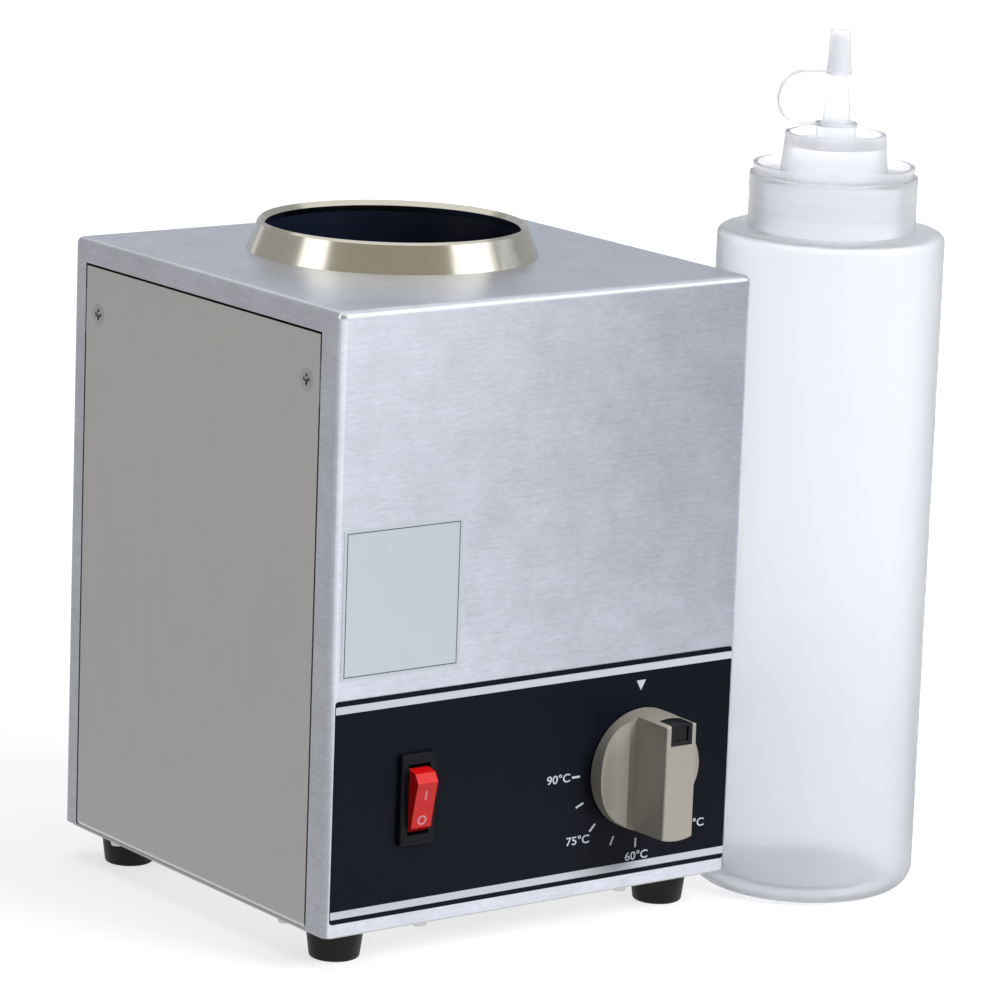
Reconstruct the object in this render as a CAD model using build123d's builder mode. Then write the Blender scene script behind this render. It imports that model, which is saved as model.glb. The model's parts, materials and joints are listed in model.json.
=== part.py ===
from build123d import *
from math import cos, radians, sin
import os

# Countertop topping warmer for one squeeze bottle, with its bottle standing beside it.
# Millimetres, +Z up. The warmer's front faces -Y. The origin lies on the table, under
# the middle of the box that holds the warmer and the bottle.

# ---------------------------------------------------------------- driving dimensions
# Housing: folded sheet steel
width = 165.0
depth = 160.0
height = 204.5
sheet = 1.0
bend_radius = 2.4
base_plate_thickness = 1.0
base_plate_inset = 1.5
base_corner_radius = 3.0
weld_clearance = 0.05

# Side panels, set flush in the housing's return flanges
front_strip = 10.6
rear_strip = 7.6
top_strip = 8.0
panel_gap = 0.8
panel_flange = 10.0
panel_screw_inset = 7.4
panel_screw_drop = 24.5
panel_screw_shank = 2.0
panel_screw_head = 3.7
panel_screw_length = 7.0
panel_cross_width = 1.2
panel_cross_length = 3.9
panel_cross_depth = 1.2
panel_cross_core_radius = 1.15
panel_cross_core_depth = 2.2
tab_thickness = 1.2
tab_width = 15.0
tab_lap = 4.5
tab_countersink = 0.75
end_screw_inset = 41.5
side_screw_inset = 18.5

# Feet
foot_height = 11.5
foot_top_radius = 9.75
foot_bottom_radius = 8.25
foot_side_inset = 16.0
foot_end_inset = 17.0
foot_recess_radius = 5.0
foot_recess_depth = 6.0
foot_edge_radius = 1.0

# Heated well
well_setback = 11.0
well_radius = 43.0
well_depth = 179.0
well_wall = 0.8
well_corner_radius = 6.0
well_hole_clearance = 0.7
collar_height = 10.0
collar_base_radius = 49.2
collar_rim_radius = 45.7
collar_rim_height = 3.5
collar_wall = 1.3
collar_edge = 0.8
collar_bevel = 1.6
rim_seat_gap = 0.1

# Heater, insulation and thermal cut-out
heater_lift = 14.0
heater_height = 78.0
heater_thickness = 2.2
heater_slit = 7.0
ear_length = 7.0
ear_thickness = 1.2
ear_height = 46.0
wrap_clearance = 0.15
insulation_thickness = 8.0
insulation_overhang = 6.0
insulation_gap = 26.0
cutout_radius = 8.0
cutout_height = 9.0
cutout_offset = 23.0
cutout_flange_length = 24.0
cutout_flange_width = 8.0
cutout_flange_thickness = 0.8
cutout_tab_length = 7.0

# Bracket under the well
bracket_width = 20.0
bracket_thickness = 1.5
bracket_top_length = 64.0
bracket_spread = 84.0
bracket_foot = 14.0
bracket_bend_radius = 3.0

# Control label on the front face
overlay_thickness = 0.3
overlay_side_margin = 2.0
overlay_bottom = 4.2
overlay_height = 74.0
overlay_corner_radius = 1.0

# Rocker switch
switch_from_middle = 48.4
switch_height = 42.6
bezel_width = 13.8
bezel_height = 30.6
bezel_depth = 2.0
bezel_edge = 0.8
switch_body_width = 12.2
switch_body_height = 27.8
switch_body_depth = 22.0
switch_pocket_width = 8.4
switch_pocket_height = 23.8
switch_pocket_depth = 13.5
rocker_side_gap = 0.3
rocker_half_height = 10.5
rocker_nose_height = 8.0
rocker_nose = 5.9
rocker_shoulder = 3.6
rocker_valley = 5.7
rocker_skirt = 0.8
rocker_root = 4.8
rocker_root_half_width = 3.2
rocker_travel = 24.0
pivot_depth = 2.4
trunnion_radius = 1.3
trunnion_length = 0.7
running_clearance = 0.05
blade_width = 6.3
blade_thickness = 0.8
blade_length = 8.0
blade_pitch = 8.5

# Thermostat
dial_from_middle = 43.1
dial_height = 40.9
bushing_radius = 4.8
bushing_hole_clearance = 0.2
thermostat_plate_width = 42.0
thermostat_plate_height = 26.0
thermostat_plate_thickness = 1.5
thermostat_width = 36.0
thermostat_height = 32.0
thermostat_depth = 26.0
thermostat_edge = 2.0
thermostat_screw_pitch = 28.0
spindle_radius = 3.0
spindle_flat = 0.8
spindle_reach = 14.0
spindle_depth = 12.0
bulb_radius = 2.5
bulb_length = 50.0
bulb_lift = 112.0
bulb_direction = -54.0
capillary_radius = 0.8
capillary_rise = 7.0
capillary_bends = (12.0, 5.5)
clip_width = 12.0
clip_thickness = 0.8
clip_height = 20.0

# Knob
knob_radius = 20.6
knob_depth = 22.3
knob_gap = 0.5
knob_draft = 1.0
knob_rim = 6.4
knob_ledge = 6.6
knob_ledge_width = 3.2
knob_scoop = 1.7
grip_half_width = 6.2
grip_edge = 0.7
knob_recess_radius = 18.8
knob_recess_depth = 2.4
hub_radius = 6.0
hub_end_gap = 0.3
pointer_width = 8.8
pointer_length = 8.0
pointer_depth = 7.0
pointer_dish = 0.6
pointer_dish_margin = 1.6

# Power inlet in the rear wall
inlet_side_margin = 5.5
inlet_height = 33.0
inlet_flange_width = 50.0
inlet_flange_height = 23.0
inlet_flange_thickness = 2.5
inlet_flange_radius = 4.0
inlet_body_width = 27.0
inlet_body_height = 19.6
inlet_body_depth = 20.0
inlet_socket_width = 24.2
inlet_socket_height = 16.6
inlet_socket_depth = 17.0
inlet_socket_chamfer = 4.0
inlet_corner_radius = 2.0
inlet_screw_pitch = 40.0
pin_pitch = 14.0
pin_offset = 2.0
pin_width = 4.0
pin_thickness = 2.0
pin_length = 14.5
pin_tail = 7.5
small_nut_radius = 3.1
small_nut_height = 2.4
inlet_screw_length = 8.0

# Terminal block and earth stud on the base plate
block_from_middle = 48.0
block_setback = 48.0
block_width = 24.0
block_depth = 16.0
block_height = 14.0
block_pitch = 10.0
block_screw_radius = 2.2
block_wire_radius = 1.8
stud_from_middle = 40.0
stud_setback = 52.0
stud_radius = 2.0
stud_height = 12.0

# Screws: shank radius, head radius, head height
small_shank = 1.5
small_head = 2.8
pan_head_height = 1.9
large_shank = 2.0
large_head = 3.6
small_screw_length = 5.5
large_nut_radius = 4.0
large_nut_height = 3.2
cross_width = 0.7
cross_length = 2.9
cross_depth = 0.8

# Vent slots in the base plate
slot_length = 30.0
slot_width = 3.5
slot_pitch = 9.0
slot_count = 6
slot_row_spacing = 84.0

# Squeeze bottle
bottle_gap = 5.0
bottle_setback = 13.0
bottle_radius = 38.5
bottle_wall = 1.4
shoulder_height = 228.0
shoulder_radius = 3.2
bottle_heel_radius = 8.0
bottle_push_up = 2.5
bottle_push_up_radius = 26.0
neck_radius = 26.5
neck_height = 16.7

# Bottle cap
cap_clearance = 0.4
cap_seat_gap = 0.3
cap_wall = 1.5
cap_skirt_height = 18.2
cap_rim_radius = 27.4
cap_rim_foot_radius = 26.8
cap_rim_height = 3.4
cap_recess = 3.4
cup_base_radius = 18.2
cup_top_radius = 17.0
cup_height = 10.6
cup_recess = 2.8
boss_radius = 6.8
boss_height = 5.3
nozzle_base_radius = 4.9
nozzle_tip_radius = 1.9
nozzle_bore_radius = 3.0
orifice_radius = 1.0
nozzle_height = 30.0

# Tip cap and its strap
tip_gap = 0.3
tip_cap_height = 15.0
tip_cap_wall = 0.6
tip_cap_top_radius = 3.4
tip_cap_bottom = 17.4
tip_cap_flare = 0.25
tip_cap_flare_height = 2.2
tip_cap_edge = 0.7
strap_ring_radius = 7.2
strap_ring_clearance = 0.1
strap_ring_height = 1.2
strap_width = 2.8
strap_thickness = 0.8
strap_reach = 21.0
strap_direction = 158.6

# ---------------------------------------------------------------- where things stand
base_z = foot_height + base_plate_thickness
top_z = base_z + height

# The set's outline as seen from the warmer's middle
set_left = -width / 2
set_right = width / 2 + bottle_gap + 2 * bottle_radius
set_front = min(-depth / 2 + bottle_setback - bottle_radius, -depth / 2 - knob_depth)
set_rear = depth / 2 + inlet_flange_thickness
warmer_x = -(set_left + set_right) / 2
warmer_y = -(set_front + set_rear) / 2
bottle_x = warmer_x + width / 2 + bottle_gap + bottle_radius
bottle_y = warmer_y - depth / 2 + bottle_setback
well_y = warmer_y + well_setback

deck = Plane(origin=(warmer_x, warmer_y, 0))
middle = Plane(origin=(warmer_x, warmer_y, 0), x_dir=(0, 1, 0), z_dir=(1, 0, 0))
front = Plane(origin=(warmer_x, warmer_y - depth / 2, base_z), x_dir=(1, 0, 0), z_dir=(0, -1, 0))
rear = Plane(origin=(warmer_x, warmer_y + depth / 2, base_z), x_dir=(-1, 0, 0), z_dir=(0, 1, 0))
left = Plane(origin=(warmer_x - width / 2, warmer_y, base_z), x_dir=(0, -1, 0), z_dir=(-1, 0, 0))
well = Plane(origin=(warmer_x, well_y, 0))
well_section = Plane(origin=(warmer_x, well_y, 0), x_dir=(1, 0, 0), z_dir=(0, -1, 0))
well_axis = Axis((warmer_x, well_y, 0), (0, 0, 1))
bottle = Plane(origin=(bottle_x, bottle_y, 0))
bottle_section = Plane(origin=(bottle_x, bottle_y, 0), x_dir=(1, 0, 0), z_dir=(0, -1, 0))
bottle_axis = Axis((bottle_x, bottle_y, 0), (0, 0, 1))

# Side panel outline, on the left plane: +X there is towards the front
panel_front = depth / 2 - front_strip - panel_gap
panel_rear = -depth / 2 + rear_strip + panel_gap
panel_length = panel_front - panel_rear
panel_middle = (panel_front + panel_rear) / 2
panel_height = height - top_strip - panel_gap
panel_screw_span = panel_length - 2 * panel_screw_inset
panel_screw_height = height - panel_screw_drop

# Screws up through the base plate: in the end flanges and in the side panels' flanges
end_screw_x = width / 2 - end_screw_inset
side_screw_y = panel_length / 2 - side_screw_inset
side_flange_x = width / 2 - panel_flange / 2
front_flange_y = -depth / 2 + front_strip / 2
rear_flange_y = depth / 2 - rear_strip / 2
base_screw_places = [
    (sign * end_screw_x, y) for sign in (-1, 1) for y in (front_flange_y, rear_flange_y)
] + [
    (sign * side_flange_x, -panel_middle + step * side_screw_y) for sign in (-1, 1) for step in (-1, 1)
]

inlet_place = (width / 2 - inlet_side_margin - inlet_flange_width / 2, inlet_height)

foot_x = width / 2 - foot_side_inset
foot_y = depth / 2 - foot_end_inset
foot_places = {
    "foot_front_left": (-foot_x, -foot_y),
    "foot_front_right": (foot_x, -foot_y),
    "foot_rear_left": (-foot_x, foot_y),
    "foot_rear_right": (foot_x, foot_y),
}

# Heights in the well
collar_top = top_z + collar_height
can_top = collar_top - collar_rim_height - rim_seat_gap
can_floor = collar_top - well_depth
can_bottom = can_floor - well_wall
can_radius = well_radius + well_wall
heater_bottom = can_bottom + heater_lift
heater_inner = can_radius + wrap_clearance
heater_outer = heater_inner + heater_thickness
insulation_inner = heater_outer + wrap_clearance
insulation_outer = insulation_inner + insulation_thickness

# Heights on the bottle
neck_top = shoulder_height + neck_height
cap_bottom = shoulder_height + cap_seat_gap
cap_inner = neck_radius + cap_clearance
cap_radius = cap_inner + cap_wall
skirt_top = cap_bottom + cap_skirt_height
cap_rim_top = skirt_top + cap_rim_height
recess_floor = cap_rim_top - cap_recess
cup_top = cap_rim_top + cup_height
cup_floor = cup_top - cup_recess
boss_top = cup_floor + boss_height
nozzle_tip = boss_top + nozzle_height
tip_cap_low = boss_top + tip_cap_bottom
tip_cap_top = tip_cap_low + tip_cap_height

os.makedirs("parts", exist_ok=True)


def save(piece, name):
    """Label a finished piece and write it under its own name."""
    piece.part.label = name
    export_step(piece.part, f"parts/{name}.step")


def nozzle_radius(z):
    """Outside radius of the tapered nozzle at a height."""
    share = (z - boss_top) / nozzle_height
    return nozzle_base_radius + (nozzle_tip_radius - nozzle_base_radius) * share


# ---------------------------------------------------------------- housing
with BuildPart() as housing_shell:
    with BuildSketch(deck.offset(base_z)):
        Rectangle(width, depth)
    extrude(amount=height)
    fillet(housing_shell.edges().sort_by(Axis.Z)[4:], bend_radius)
    offset(amount=-sheet, openings=housing_shell.faces().sort_by(Axis.Z)[0])
    # Both sides are open inside their return flanges
    with BuildSketch(left):
        with Locations((panel_middle, 0)):
            Rectangle(
                panel_length + 2 * panel_gap,
                panel_height + panel_gap,
                align=(Align.CENTER, Align.MIN),
            )
    extrude(amount=-width, mode=Mode.SUBTRACT)
    # Flanges turned in under the front and the rear
    with BuildSketch(deck.offset(base_z)):
        with Locations((0, -depth / 2 + sheet / 2)):
            Rectangle(
                width - 2 * bend_radius,
                front_strip - panel_gap,
                align=(Align.CENTER, Align.MIN),
            )
        with Locations((0, depth / 2 - sheet / 2)):
            Rectangle(
                width - 2 * bend_radius,
                rear_strip - panel_gap,
                align=(Align.CENTER, Align.MAX),
            )
        with Locations(*base_screw_places[:4]):
            Circle(small_shank + weld_clearance, mode=Mode.SUBTRACT)
    extrude(amount=sheet)
    # Screw tabs welded behind the flanges, for the side panels
    with BuildSketch(left.offset(-sheet)):
        for direction, edge in ((1, panel_front), (-1, panel_rear)):
            outer = edge + direction * (panel_gap + tab_lap)
            inner = edge - direction * 2 * panel_screw_inset
            with Locations(((outer + inner) / 2, panel_screw_height)):
                Rectangle(abs(outer - inner), tab_width)
        with Locations((panel_middle, panel_screw_height)):
            with GridLocations(panel_screw_span, 0, 2, 1):
                Circle(panel_screw_shank + weld_clearance, mode=Mode.SUBTRACT)
    tabs = extrude(amount=-tab_thickness)
    mirror(tabs, about=middle)
    screw_holes = housing_shell.edges().filter_by(
        lambda edge: edge.geom_type == GeomType.CIRCLE
        and abs(edge.radius - panel_screw_shank - weld_clearance) < weld_clearance
    )
    chamfer(screw_holes.sort_by(Axis.X)[:2] + screw_holes.sort_by(Axis.X)[-2:], tab_countersink)
    # Well hole in the top
    with BuildSketch(well.offset(top_z)):
        Circle(can_radius + well_hole_clearance)
    extrude(amount=-2 * sheet, mode=Mode.SUBTRACT)
    # Switch and thermostat openings in the front
    with BuildSketch(front):
        with Locations((-switch_from_middle, switch_height)):
            Rectangle(switch_body_width + 2 * weld_clearance, switch_body_height + 2 * weld_clearance)
        with Locations((dial_from_middle, dial_height)):
            Circle(bushing_radius + bushing_hole_clearance)
            with GridLocations(thermostat_screw_pitch, 0, 2, 1):
                Circle(small_shank + weld_clearance)
    extrude(amount=-2 * sheet, mode=Mode.SUBTRACT)
    # Inlet opening in the rear
    with BuildSketch(rear):
        with Locations(inlet_place):
            RectangleRounded(
                inlet_body_width + 2 * weld_clearance,
                inlet_body_height + 2 * weld_clearance,
                inlet_corner_radius,
            )
            with GridLocations(inlet_screw_pitch, 0, 2, 1):
                Circle(small_shank + weld_clearance)
    extrude(amount=-2 * sheet, mode=Mode.SUBTRACT)
save(housing_shell, "housing_shell")

# ---------------------------------------------------------------- side panels
panel_end = Plane(
    origin=(warmer_x - width / 2, warmer_y - panel_front, base_z), x_dir=(1, 0, 0), z_dir=(0, -1, 0)
)
with BuildPart() as side_panel_left:
    with BuildSketch(panel_end) as panel_profile:
        Rectangle(sheet, panel_height, align=(Align.MIN, Align.MIN))
        Rectangle(panel_flange, sheet, align=(Align.MIN, Align.MIN))
        fillet(panel_profile.vertices().sort_by_distance((0, 0))[1], bend_radius - sheet)
        fillet(panel_profile.vertices().sort_by_distance((0, 0))[0], bend_radius)
    extrude(amount=-panel_length)
    with Locations(left.location):
        with Locations((panel_middle, panel_screw_height)):
            with GridLocations(panel_screw_span, 0, 2, 1):
                CounterSinkHole(
                    panel_screw_shank + weld_clearance,
                    panel_screw_head + weld_clearance,
                    counter_sink_angle=90,
                )
    with BuildSketch(deck.offset(base_z)):
        with Locations(*base_screw_places[4:6]):
            Circle(small_shank + weld_clearance)
    extrude(amount=sheet, mode=Mode.SUBTRACT)
save(side_panel_left, "side_panel_left")

with BuildPart() as side_panel_right:
    mirror(side_panel_left.part, about=middle)
save(side_panel_right, "side_panel_right")

# ---------------------------------------------------------------- base plate
with BuildPart() as base_plate:
    with BuildSketch(deck.offset(foot_height)):
        RectangleRounded(width - 2 * base_plate_inset, depth - 2 * base_plate_inset, base_corner_radius)
        with Locations(*base_screw_places):
            Circle(small_shank + weld_clearance, mode=Mode.SUBTRACT)
        with Locations(*foot_places.values()):
            Circle(large_shank + weld_clearance, mode=Mode.SUBTRACT)
        with GridLocations(slot_pitch, slot_row_spacing, slot_count, 2):
            SlotOverall(slot_length, slot_width, rotation=90, mode=Mode.SUBTRACT)
    extrude(amount=base_plate_thickness)
save(base_plate, "base_plate")

with BuildPart() as base_screws:
    with BuildSketch(deck.offset(foot_height)):
        with Locations(*base_screw_places):
            Circle(small_head)
    extrude(amount=-pan_head_height, taper=20)
    with BuildSketch(deck.offset(foot_height)):
        with Locations(*base_screw_places):
            Circle(small_shank)
    extrude(amount=small_screw_length)
    with BuildSketch(deck.offset(foot_height - pan_head_height)):
        with Locations(*base_screw_places):
            Rectangle(cross_length, cross_width)
            Rectangle(cross_width, cross_length)
    extrude(amount=cross_depth, mode=Mode.SUBTRACT)
save(base_screws, "base_screws")

# ---------------------------------------------------------------- feet
for name, place in foot_places.items():
    with BuildPart() as foot:
        with BuildSketch(deck):
            with Locations(place):
                Circle(foot_bottom_radius)
        with BuildSketch(deck.offset(foot_height)):
            with Locations(place):
                Circle(foot_top_radius)
        loft()
        fillet(foot.edges().sort_by(Axis.Z)[0], foot_edge_radius)
        with BuildSketch(deck):
            with Locations(place):
                Circle(foot_recess_radius)
        extrude(amount=foot_recess_depth, mode=Mode.SUBTRACT)
        with BuildSketch(deck):
            with Locations(place):
                Circle(large_shank + weld_clearance)
        extrude(amount=foot_height, mode=Mode.SUBTRACT)
    save(foot, name)

foot_stack = foot_height - foot_recess_depth + base_plate_thickness
with BuildPart() as foot_screws:
    with BuildSketch(deck.offset(foot_recess_depth)):
        with Locations(*foot_places.values()):
            Circle(large_head)
    extrude(amount=-pan_head_height, taper=20)
    with BuildSketch(deck.offset(foot_recess_depth)):
        with Locations(*foot_places.values()):
            Circle(large_shank)
    extrude(amount=foot_stack + large_nut_height)
    with BuildSketch(deck.offset(foot_recess_depth - pan_head_height)):
        with Locations(*foot_places.values()):
            Rectangle(cross_length, cross_width)
            Rectangle(cross_width, cross_length)
    extrude(amount=cross_depth, mode=Mode.SUBTRACT)
save(foot_screws, "foot_screws")

with BuildPart() as foot_nuts:
    with BuildSketch(deck.offset(base_z)):
        with Locations(*foot_places.values()):
            RegularPolygon(large_nut_radius, 6)
            Circle(large_shank + weld_clearance, mode=Mode.SUBTRACT)
    extrude(amount=large_nut_height)
save(foot_nuts, "foot_nuts")

# ---------------------------------------------------------------- side panel screws
# The heads sit flush in the panels' countersinks
with BuildPart() as side_panel_screws:
    with BuildSketch(left):
        with Locations((panel_middle, panel_screw_height)):
            with GridLocations(panel_screw_span, 0, 2, 1):
                Circle(panel_screw_head)
    extrude(amount=panel_screw_shank - panel_screw_head, taper=45)
    with BuildSketch(left):
        with Locations((panel_middle, panel_screw_height)):
            with GridLocations(panel_screw_span, 0, 2, 1):
                Circle(panel_screw_shank)
    extrude(amount=-panel_screw_length)
    with BuildSketch(left):
        with Locations((panel_middle, panel_screw_height)):
            with GridLocations(panel_screw_span, 0, 2, 1):
                Rectangle(panel_cross_length, panel_cross_width)
                Rectangle(panel_cross_width, panel_cross_length)
    extrude(amount=-panel_cross_depth, mode=Mode.SUBTRACT)
    with BuildSketch(left):
        with Locations((panel_middle, panel_screw_height)):
            with GridLocations(panel_screw_span, 0, 2, 1):
                Circle(panel_cross_core_radius)
    extrude(amount=-panel_cross_core_depth, mode=Mode.SUBTRACT)
    mirror(about=middle)
save(side_panel_screws, "side_panel_screws")

# ---------------------------------------------------------------- collar and well
collar_slope = (collar_base_radius - collar_rim_radius) / (collar_height - collar_edge)
collar_hollow = collar_height - collar_rim_height
with BuildPart() as collar_ring:
    with BuildSketch(well_section):
        with BuildLine():
            Polyline(
                (collar_base_radius, top_z),
                (collar_rim_radius, collar_top - collar_edge),
                (collar_rim_radius - collar_edge, collar_top),
                (well_radius + collar_bevel, collar_top),
                (well_radius, collar_top - collar_bevel),
                (well_radius, top_z + collar_hollow),
                (collar_base_radius - collar_slope * collar_hollow - collar_wall, top_z + collar_hollow),
                (collar_base_radius - collar_wall, top_z),
                close=True,
            )
        make_face()
    revolve(axis=well_axis)
save(collar_ring, "collar_ring")

with BuildPart() as well_can:
    with BuildSketch(well.offset(can_bottom)):
        Circle(can_radius)
    extrude(amount=can_top - can_bottom)
    fillet(well_can.edges().sort_by(Axis.Z)[0], well_corner_radius + well_wall)
    offset(amount=-well_wall, openings=well_can.faces().sort_by(Axis.Z)[-1])
save(well_can, "well_can")

# ---------------------------------------------------------------- heater and insulation
ear_x = (heater_slit + ear_thickness) / 2
with BuildPart() as heater_band:
    with BuildSketch(well.offset(heater_bottom)):
        Circle(heater_outer)
        Circle(heater_inner, mode=Mode.SUBTRACT)
        with Locations((0, heater_inner)):
            Rectangle(heater_slit, 2 * heater_thickness + ear_length, mode=Mode.SUBTRACT)
    extrude(amount=heater_height)
    # Two ears at the slit take the clamp screws
    with BuildSketch(well.offset(heater_bottom + (heater_height - ear_height) / 2)):
        with Locations((-ear_x, heater_inner), (ear_x, heater_inner)):
            Rectangle(ear_thickness, ear_length + heater_thickness, align=(Align.CENTER, Align.MIN))
    extrude(amount=ear_height)
    ear_middle = Plane(
        origin=(warmer_x, well_y + heater_outer + ear_length / 2, heater_bottom + heater_height / 2),
        x_dir=(0, 1, 0),
        z_dir=(1, 0, 0),
    )
    with BuildSketch(ear_middle):
        with GridLocations(0, ear_height / 2, 1, 2):
            Circle(small_shank + weld_clearance)
    extrude(amount=heater_slit, both=True, mode=Mode.SUBTRACT)
save(heater_band, "heater_band")

with BuildPart() as heater_clamp_screws:
    clamp_face = heater_slit / 2 + ear_thickness
    with BuildSketch(ear_middle.offset(clamp_face)):
        with GridLocations(0, ear_height / 2, 1, 2):
            Circle(small_head)
    extrude(amount=pan_head_height)
    with BuildSketch(ear_middle.offset(clamp_face)):
        with GridLocations(0, ear_height / 2, 1, 2):
            Circle(small_shank)
    extrude(amount=-2 * clamp_face - pan_head_height)
save(heater_clamp_screws, "heater_clamp_screws")

insulation_height = heater_height + 2 * insulation_overhang
with BuildPart() as insulation_sleeve:
    with BuildSketch(well.offset(heater_bottom - insulation_overhang)):
        Circle(insulation_outer)
        Circle(insulation_inner, mode=Mode.SUBTRACT)
        with Locations((0, insulation_inner)):
            Rectangle(insulation_gap, 3 * insulation_thickness, mode=Mode.SUBTRACT)
    extrude(amount=insulation_height)
save(insulation_sleeve, "insulation_sleeve")

# ---------------------------------------------------------------- thermal cut-out
cutout_place = (0, -cutout_offset)
with BuildPart() as thermal_cutout:
    with BuildSketch(well.offset(can_bottom)):
        with Locations(cutout_place):
            Circle(cutout_radius)
            Rectangle(cutout_flange_length, cutout_flange_width)
    extrude(amount=-cutout_flange_thickness)
    with BuildSketch(well.offset(can_bottom)):
        with Locations(cutout_place):
            Circle(cutout_radius)
    extrude(amount=-cutout_height)
    fillet(thermal_cutout.edges().filter_by(GeomType.CIRCLE).sort_by(Axis.Z)[0], 1)
    with BuildSketch(well.offset(can_bottom - cutout_height)):
        with Locations(cutout_place):
            with GridLocations(blade_pitch, 0, 2, 1):
                Rectangle(blade_thickness, blade_width)
    extrude(amount=-cutout_tab_length)
save(thermal_cutout, "thermal_cutout")

# ---------------------------------------------------------------- bracket under the well
with BuildPart() as well_bracket:
    with BuildSketch(well_section) as bracket_profile:
        with BuildLine():
            half_top = bracket_top_length / 2
            half_spread = bracket_spread / 2
            mid = bracket_thickness / 2
            FilletPolyline(
                (-half_spread - bracket_foot, base_z + mid),
                (-half_spread, base_z + mid),
                (-half_top, can_bottom - mid),
                (half_top, can_bottom - mid),
                (half_spread, base_z + mid),
                (half_spread + bracket_foot, base_z + mid),
                radius=bracket_bend_radius,
            )
        trace(line_width=bracket_thickness)
    extrude(amount=bracket_width / 2, both=True)
save(well_bracket, "well_bracket")

# ---------------------------------------------------------------- control label
with BuildPart() as control_overlay:
    with BuildSketch(front):
        with Locations((0, overlay_bottom)):
            Rectangle(
                width - 2 * overlay_side_margin, overlay_height, align=(Align.CENTER, Align.MIN)
            )
        with Locations((-switch_from_middle, switch_height)):
            Rectangle(
                switch_body_width + 2 * weld_clearance,
                switch_body_height + 2 * weld_clearance,
                mode=Mode.SUBTRACT,
            )
        with Locations((dial_from_middle, dial_height)):
            Circle(bushing_radius + bushing_hole_clearance, mode=Mode.SUBTRACT)
            with GridLocations(thermostat_screw_pitch, 0, 2, 1):
                Circle(small_head + weld_clearance, mode=Mode.SUBTRACT)
    extrude(amount=overlay_thickness)
    fillet(control_overlay.edges().filter_by(Axis.Y).group_by(Axis.Z)[0], overlay_corner_radius)
    fillet(control_overlay.edges().filter_by(Axis.Y).group_by(Axis.Z)[-1], overlay_corner_radius)
save(control_overlay, "control_overlay")

# ---------------------------------------------------------------- rocker switch
bezel_back = front.offset(overlay_thickness)
bezel_front = front.offset(overlay_thickness + bezel_depth)
switch_place = (-switch_from_middle, switch_height)
body_back = front.offset(-switch_body_depth)
pivot = Plane(
    origin=bezel_front.offset(-pivot_depth).from_local_coords(Vector(*switch_place, 0)),
    x_dir=(0, -1, 0),
    z_dir=(-1, 0, 0),
)
with BuildPart() as switch_housing:
    with BuildSketch(bezel_back):
        with Locations(switch_place):
            Rectangle(bezel_width, bezel_height)
    extrude(amount=bezel_depth)
    fillet(switch_housing.edges().filter_by(Axis.Y), bezel_edge)
    fillet(switch_housing.faces().sort_by(Axis.Y)[0].edges(), bezel_edge)
    with BuildSketch(bezel_back):
        with Locations(switch_place):
            Rectangle(switch_body_width, switch_body_height)
    extrude(amount=-switch_body_depth - overlay_thickness)
    with BuildSketch(bezel_front):
        with Locations(switch_place):
            Rectangle(switch_pocket_width, switch_pocket_height)
    extrude(amount=-switch_pocket_depth, mode=Mode.SUBTRACT)
    with BuildSketch(pivot):
        Circle(trunnion_radius + running_clearance)
    extrude(
        amount=switch_pocket_width / 2 - rocker_side_gap + trunnion_length + running_clearance,
        both=True,
        mode=Mode.SUBTRACT,
    )
save(switch_housing, "switch_housing")

# The rocker's outline lies on the pivot plane, turned to its off position: the upper end
# stands proud. Along X there is outwards, and Y runs up the switch.
off_tilt = radians(rocker_travel / 2)
rocker_plane = Plane(
    origin=pivot.origin, x_dir=(0, -cos(off_tilt), -sin(off_tilt)), z_dir=(-1, 0, 0)
)
with BuildPart() as switch_rocker:
    with BuildSketch(rocker_plane):
        with BuildLine():
            ThreePointArc(
                (rocker_nose, -rocker_nose_height), (rocker_valley, 0), (rocker_nose, rocker_nose_height)
            )
            Polyline(
                (rocker_nose, rocker_nose_height),
                (rocker_shoulder, rocker_half_height),
                (-rocker_skirt, rocker_half_height),
                (-rocker_root, rocker_root_half_width),
                (-rocker_root, -rocker_root_half_width),
                (-rocker_skirt, -rocker_half_height),
                (rocker_shoulder, -rocker_half_height),
                (rocker_nose, -rocker_nose_height),
            )
        make_face()
    extrude(amount=switch_pocket_width / 2 - rocker_side_gap, both=True)
    with BuildSketch(rocker_plane):
        Circle(trunnion_radius)
    extrude(amount=switch_pocket_width / 2 - rocker_side_gap + trunnion_length, both=True)
save(switch_rocker, "switch_rocker")

with BuildPart() as switch_terminals:
    with BuildSketch(body_back):
        with Locations(switch_place):
            with GridLocations(0, blade_pitch, 1, 3):
                Rectangle(blade_width, blade_thickness)
    extrude(amount=-blade_length)
save(switch_terminals, "switch_terminals")

# ---------------------------------------------------------------- thermostat
dial_place = (dial_from_middle, dial_height)
plate_back = front.offset(-sheet - thermostat_plate_thickness)
with BuildPart() as thermostat_body:
    with BuildSketch(front.offset(-sheet)):
        with Locations(dial_place):
            Rectangle(thermostat_plate_width, thermostat_plate_height)
            with GridLocations(thermostat_screw_pitch, 0, 2, 1):
                Circle(small_shank + weld_clearance, mode=Mode.SUBTRACT)
    extrude(amount=-thermostat_plate_thickness)
    with BuildSketch(plate_back):
        with Locations(dial_place):
            RectangleRounded(thermostat_width, thermostat_height, thermostat_edge)
            with GridLocations(thermostat_screw_pitch, 0, 2, 1):
                Circle(small_shank + weld_clearance, mode=Mode.SUBTRACT)
    extrude(amount=-thermostat_depth)
    with BuildSketch(front.offset(-sheet)):
        with Locations(dial_place):
            Circle(bushing_radius)
    extrude(amount=sheet + overlay_thickness)
    with BuildSketch(front.offset(overlay_thickness)):
        with Locations(dial_place):
            Circle(spindle_radius + running_clearance)
    extrude(amount=-spindle_depth, mode=Mode.SUBTRACT)
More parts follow.
